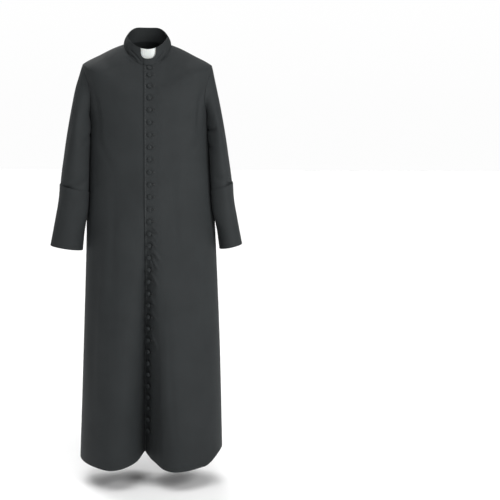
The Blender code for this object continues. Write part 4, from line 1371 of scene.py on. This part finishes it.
# %% The floor and the studio
FLOOR_Z = -1.50
FLOOR_HALF = 20  # metres
WALL_FADE = 0.10  # the sine of the angle above the floor at which the wall is at its brightest


def make_floor():
    """A wide floor in pale matt paint, whose faint clouds keep it from looking like nothing."""
    material, shader = new_material("pale_floor_paint", Roughness=0.9)
    place = add(material, "TexCoord").outputs["Object"]
    clouds = add(material, "TexNoise", {"Vector": place, "Scale": 3.0}).outputs["Fac"]
    ramp = add(material, "ValToRGB", {"Fac": clouds})
    for stop, swatch in zip(ramp.color_ramp.elements, ("#F6F6F6", "#FAFAFA")):
        stop.color = linear(swatch)
    material.node_tree.links.new(ramp.outputs["Color"], shader.inputs["Base Color"])
    corners = np.array([(-1, -1, 0), (1, -1, 0), (1, 1, 0), (-1, 1, 0)]) * FLOOR_HALF
    floor = new_piece("floor", corners, [(0, 1, 2, 3)], material)
    floor.location.z = FLOOR_Z


def make_world(light, low, high):
    """A pale room. light: how much it lights the robe. low and high: how bright its wall looks at
    the floor and overhead."""
    world = bpy.data.worlds.new("pale_room")
    world.use_nodes = True
    way = add(world, "TexCoord").outputs["Generated"]
    height = add(world, "SeparateXYZ", {"Vector": way}).outputs["Z"]
    wall = add(
        world,
        "MapRange",
        {"Value": height, "From Max": WALL_FADE, "To Min": low, "To Max": high},
    ).outputs["Result"]
    seen = add(world, "LightPath").outputs["Is Camera Ray"]
    strength = add(world, "MapRange", {"Value": seen, "To Min": light, "To Max": wall})
    background = world.node_tree.nodes["Background"]
    background.inputs["Color"].default_value = (1.0, 1.0, 1.0, 1.0)
    world.node_tree.links.new(strength.outputs["Result"], background.inputs["Strength"])
    bpy.context.scene.world = world


def aimed(name, data, place, target):
    """A lamp or a camera at a place, looking at a target."""
    holder = bpy.data.objects.new(name, data)
    holder.location = place
    holder.rotation_mode = "QUATERNION"
    holder.rotation_quaternion = (Vector(target) - Vector(place)).to_track_quat("-Z", "Y")
    bpy.context.scene.collection.objects.link(holder)
    return holder


def make_lamp(name, kind, place, target, power, size):
    """A lamp. size: an area's side in metres, or a sun's width as an angle."""
    lamp = bpy.data.lights.new(name, kind)
    lamp.energy = power
    setattr(lamp, "angle" if kind == "SUN" else "size", size)
    aimed(name, lamp, place, target)


make_floor()
make_world(light=0.26, low=0.98, high=1.0)
make_lamp("ceiling_front", "SUN", (-0.4, -1.6, 3.8), (0.0, 0.0, 0.0), 1.5, math.radians(40))
make_lamp("ceiling_back", "SUN", (-0.9, 2.4, 3.0), (0.0, 0.0, 0.0), 2.0, math.radians(40))
make_lamp("key", "AREA", (1.6, -1.95, 0.20), (0.0, 0.0, -0.35), 48.0, 1.2)

# %% The camera
CAMERA_PLACE = Vector((0.0, -4.0, -0.20))
CAMERA_TARGET = Vector((0.345, 0.0, -0.692))
CAMERA_ROLL = math.radians(0.45)
lens = bpy.data.cameras.new("camera")
lens.lens = 84
lens.sensor_width = 36
camera = aimed("camera", lens, CAMERA_PLACE, CAMERA_TARGET)
camera.rotation_quaternion = camera.rotation_quaternion @ Quaternion((0, 0, 1), CAMERA_ROLL)
bpy.context.scene.camera = camera
bpy.context.scene.view_settings.view_transform = "Standard"
print("camera distance:", round((CAMERA_TARGET - CAMERA_PLACE).length, 2), "m")
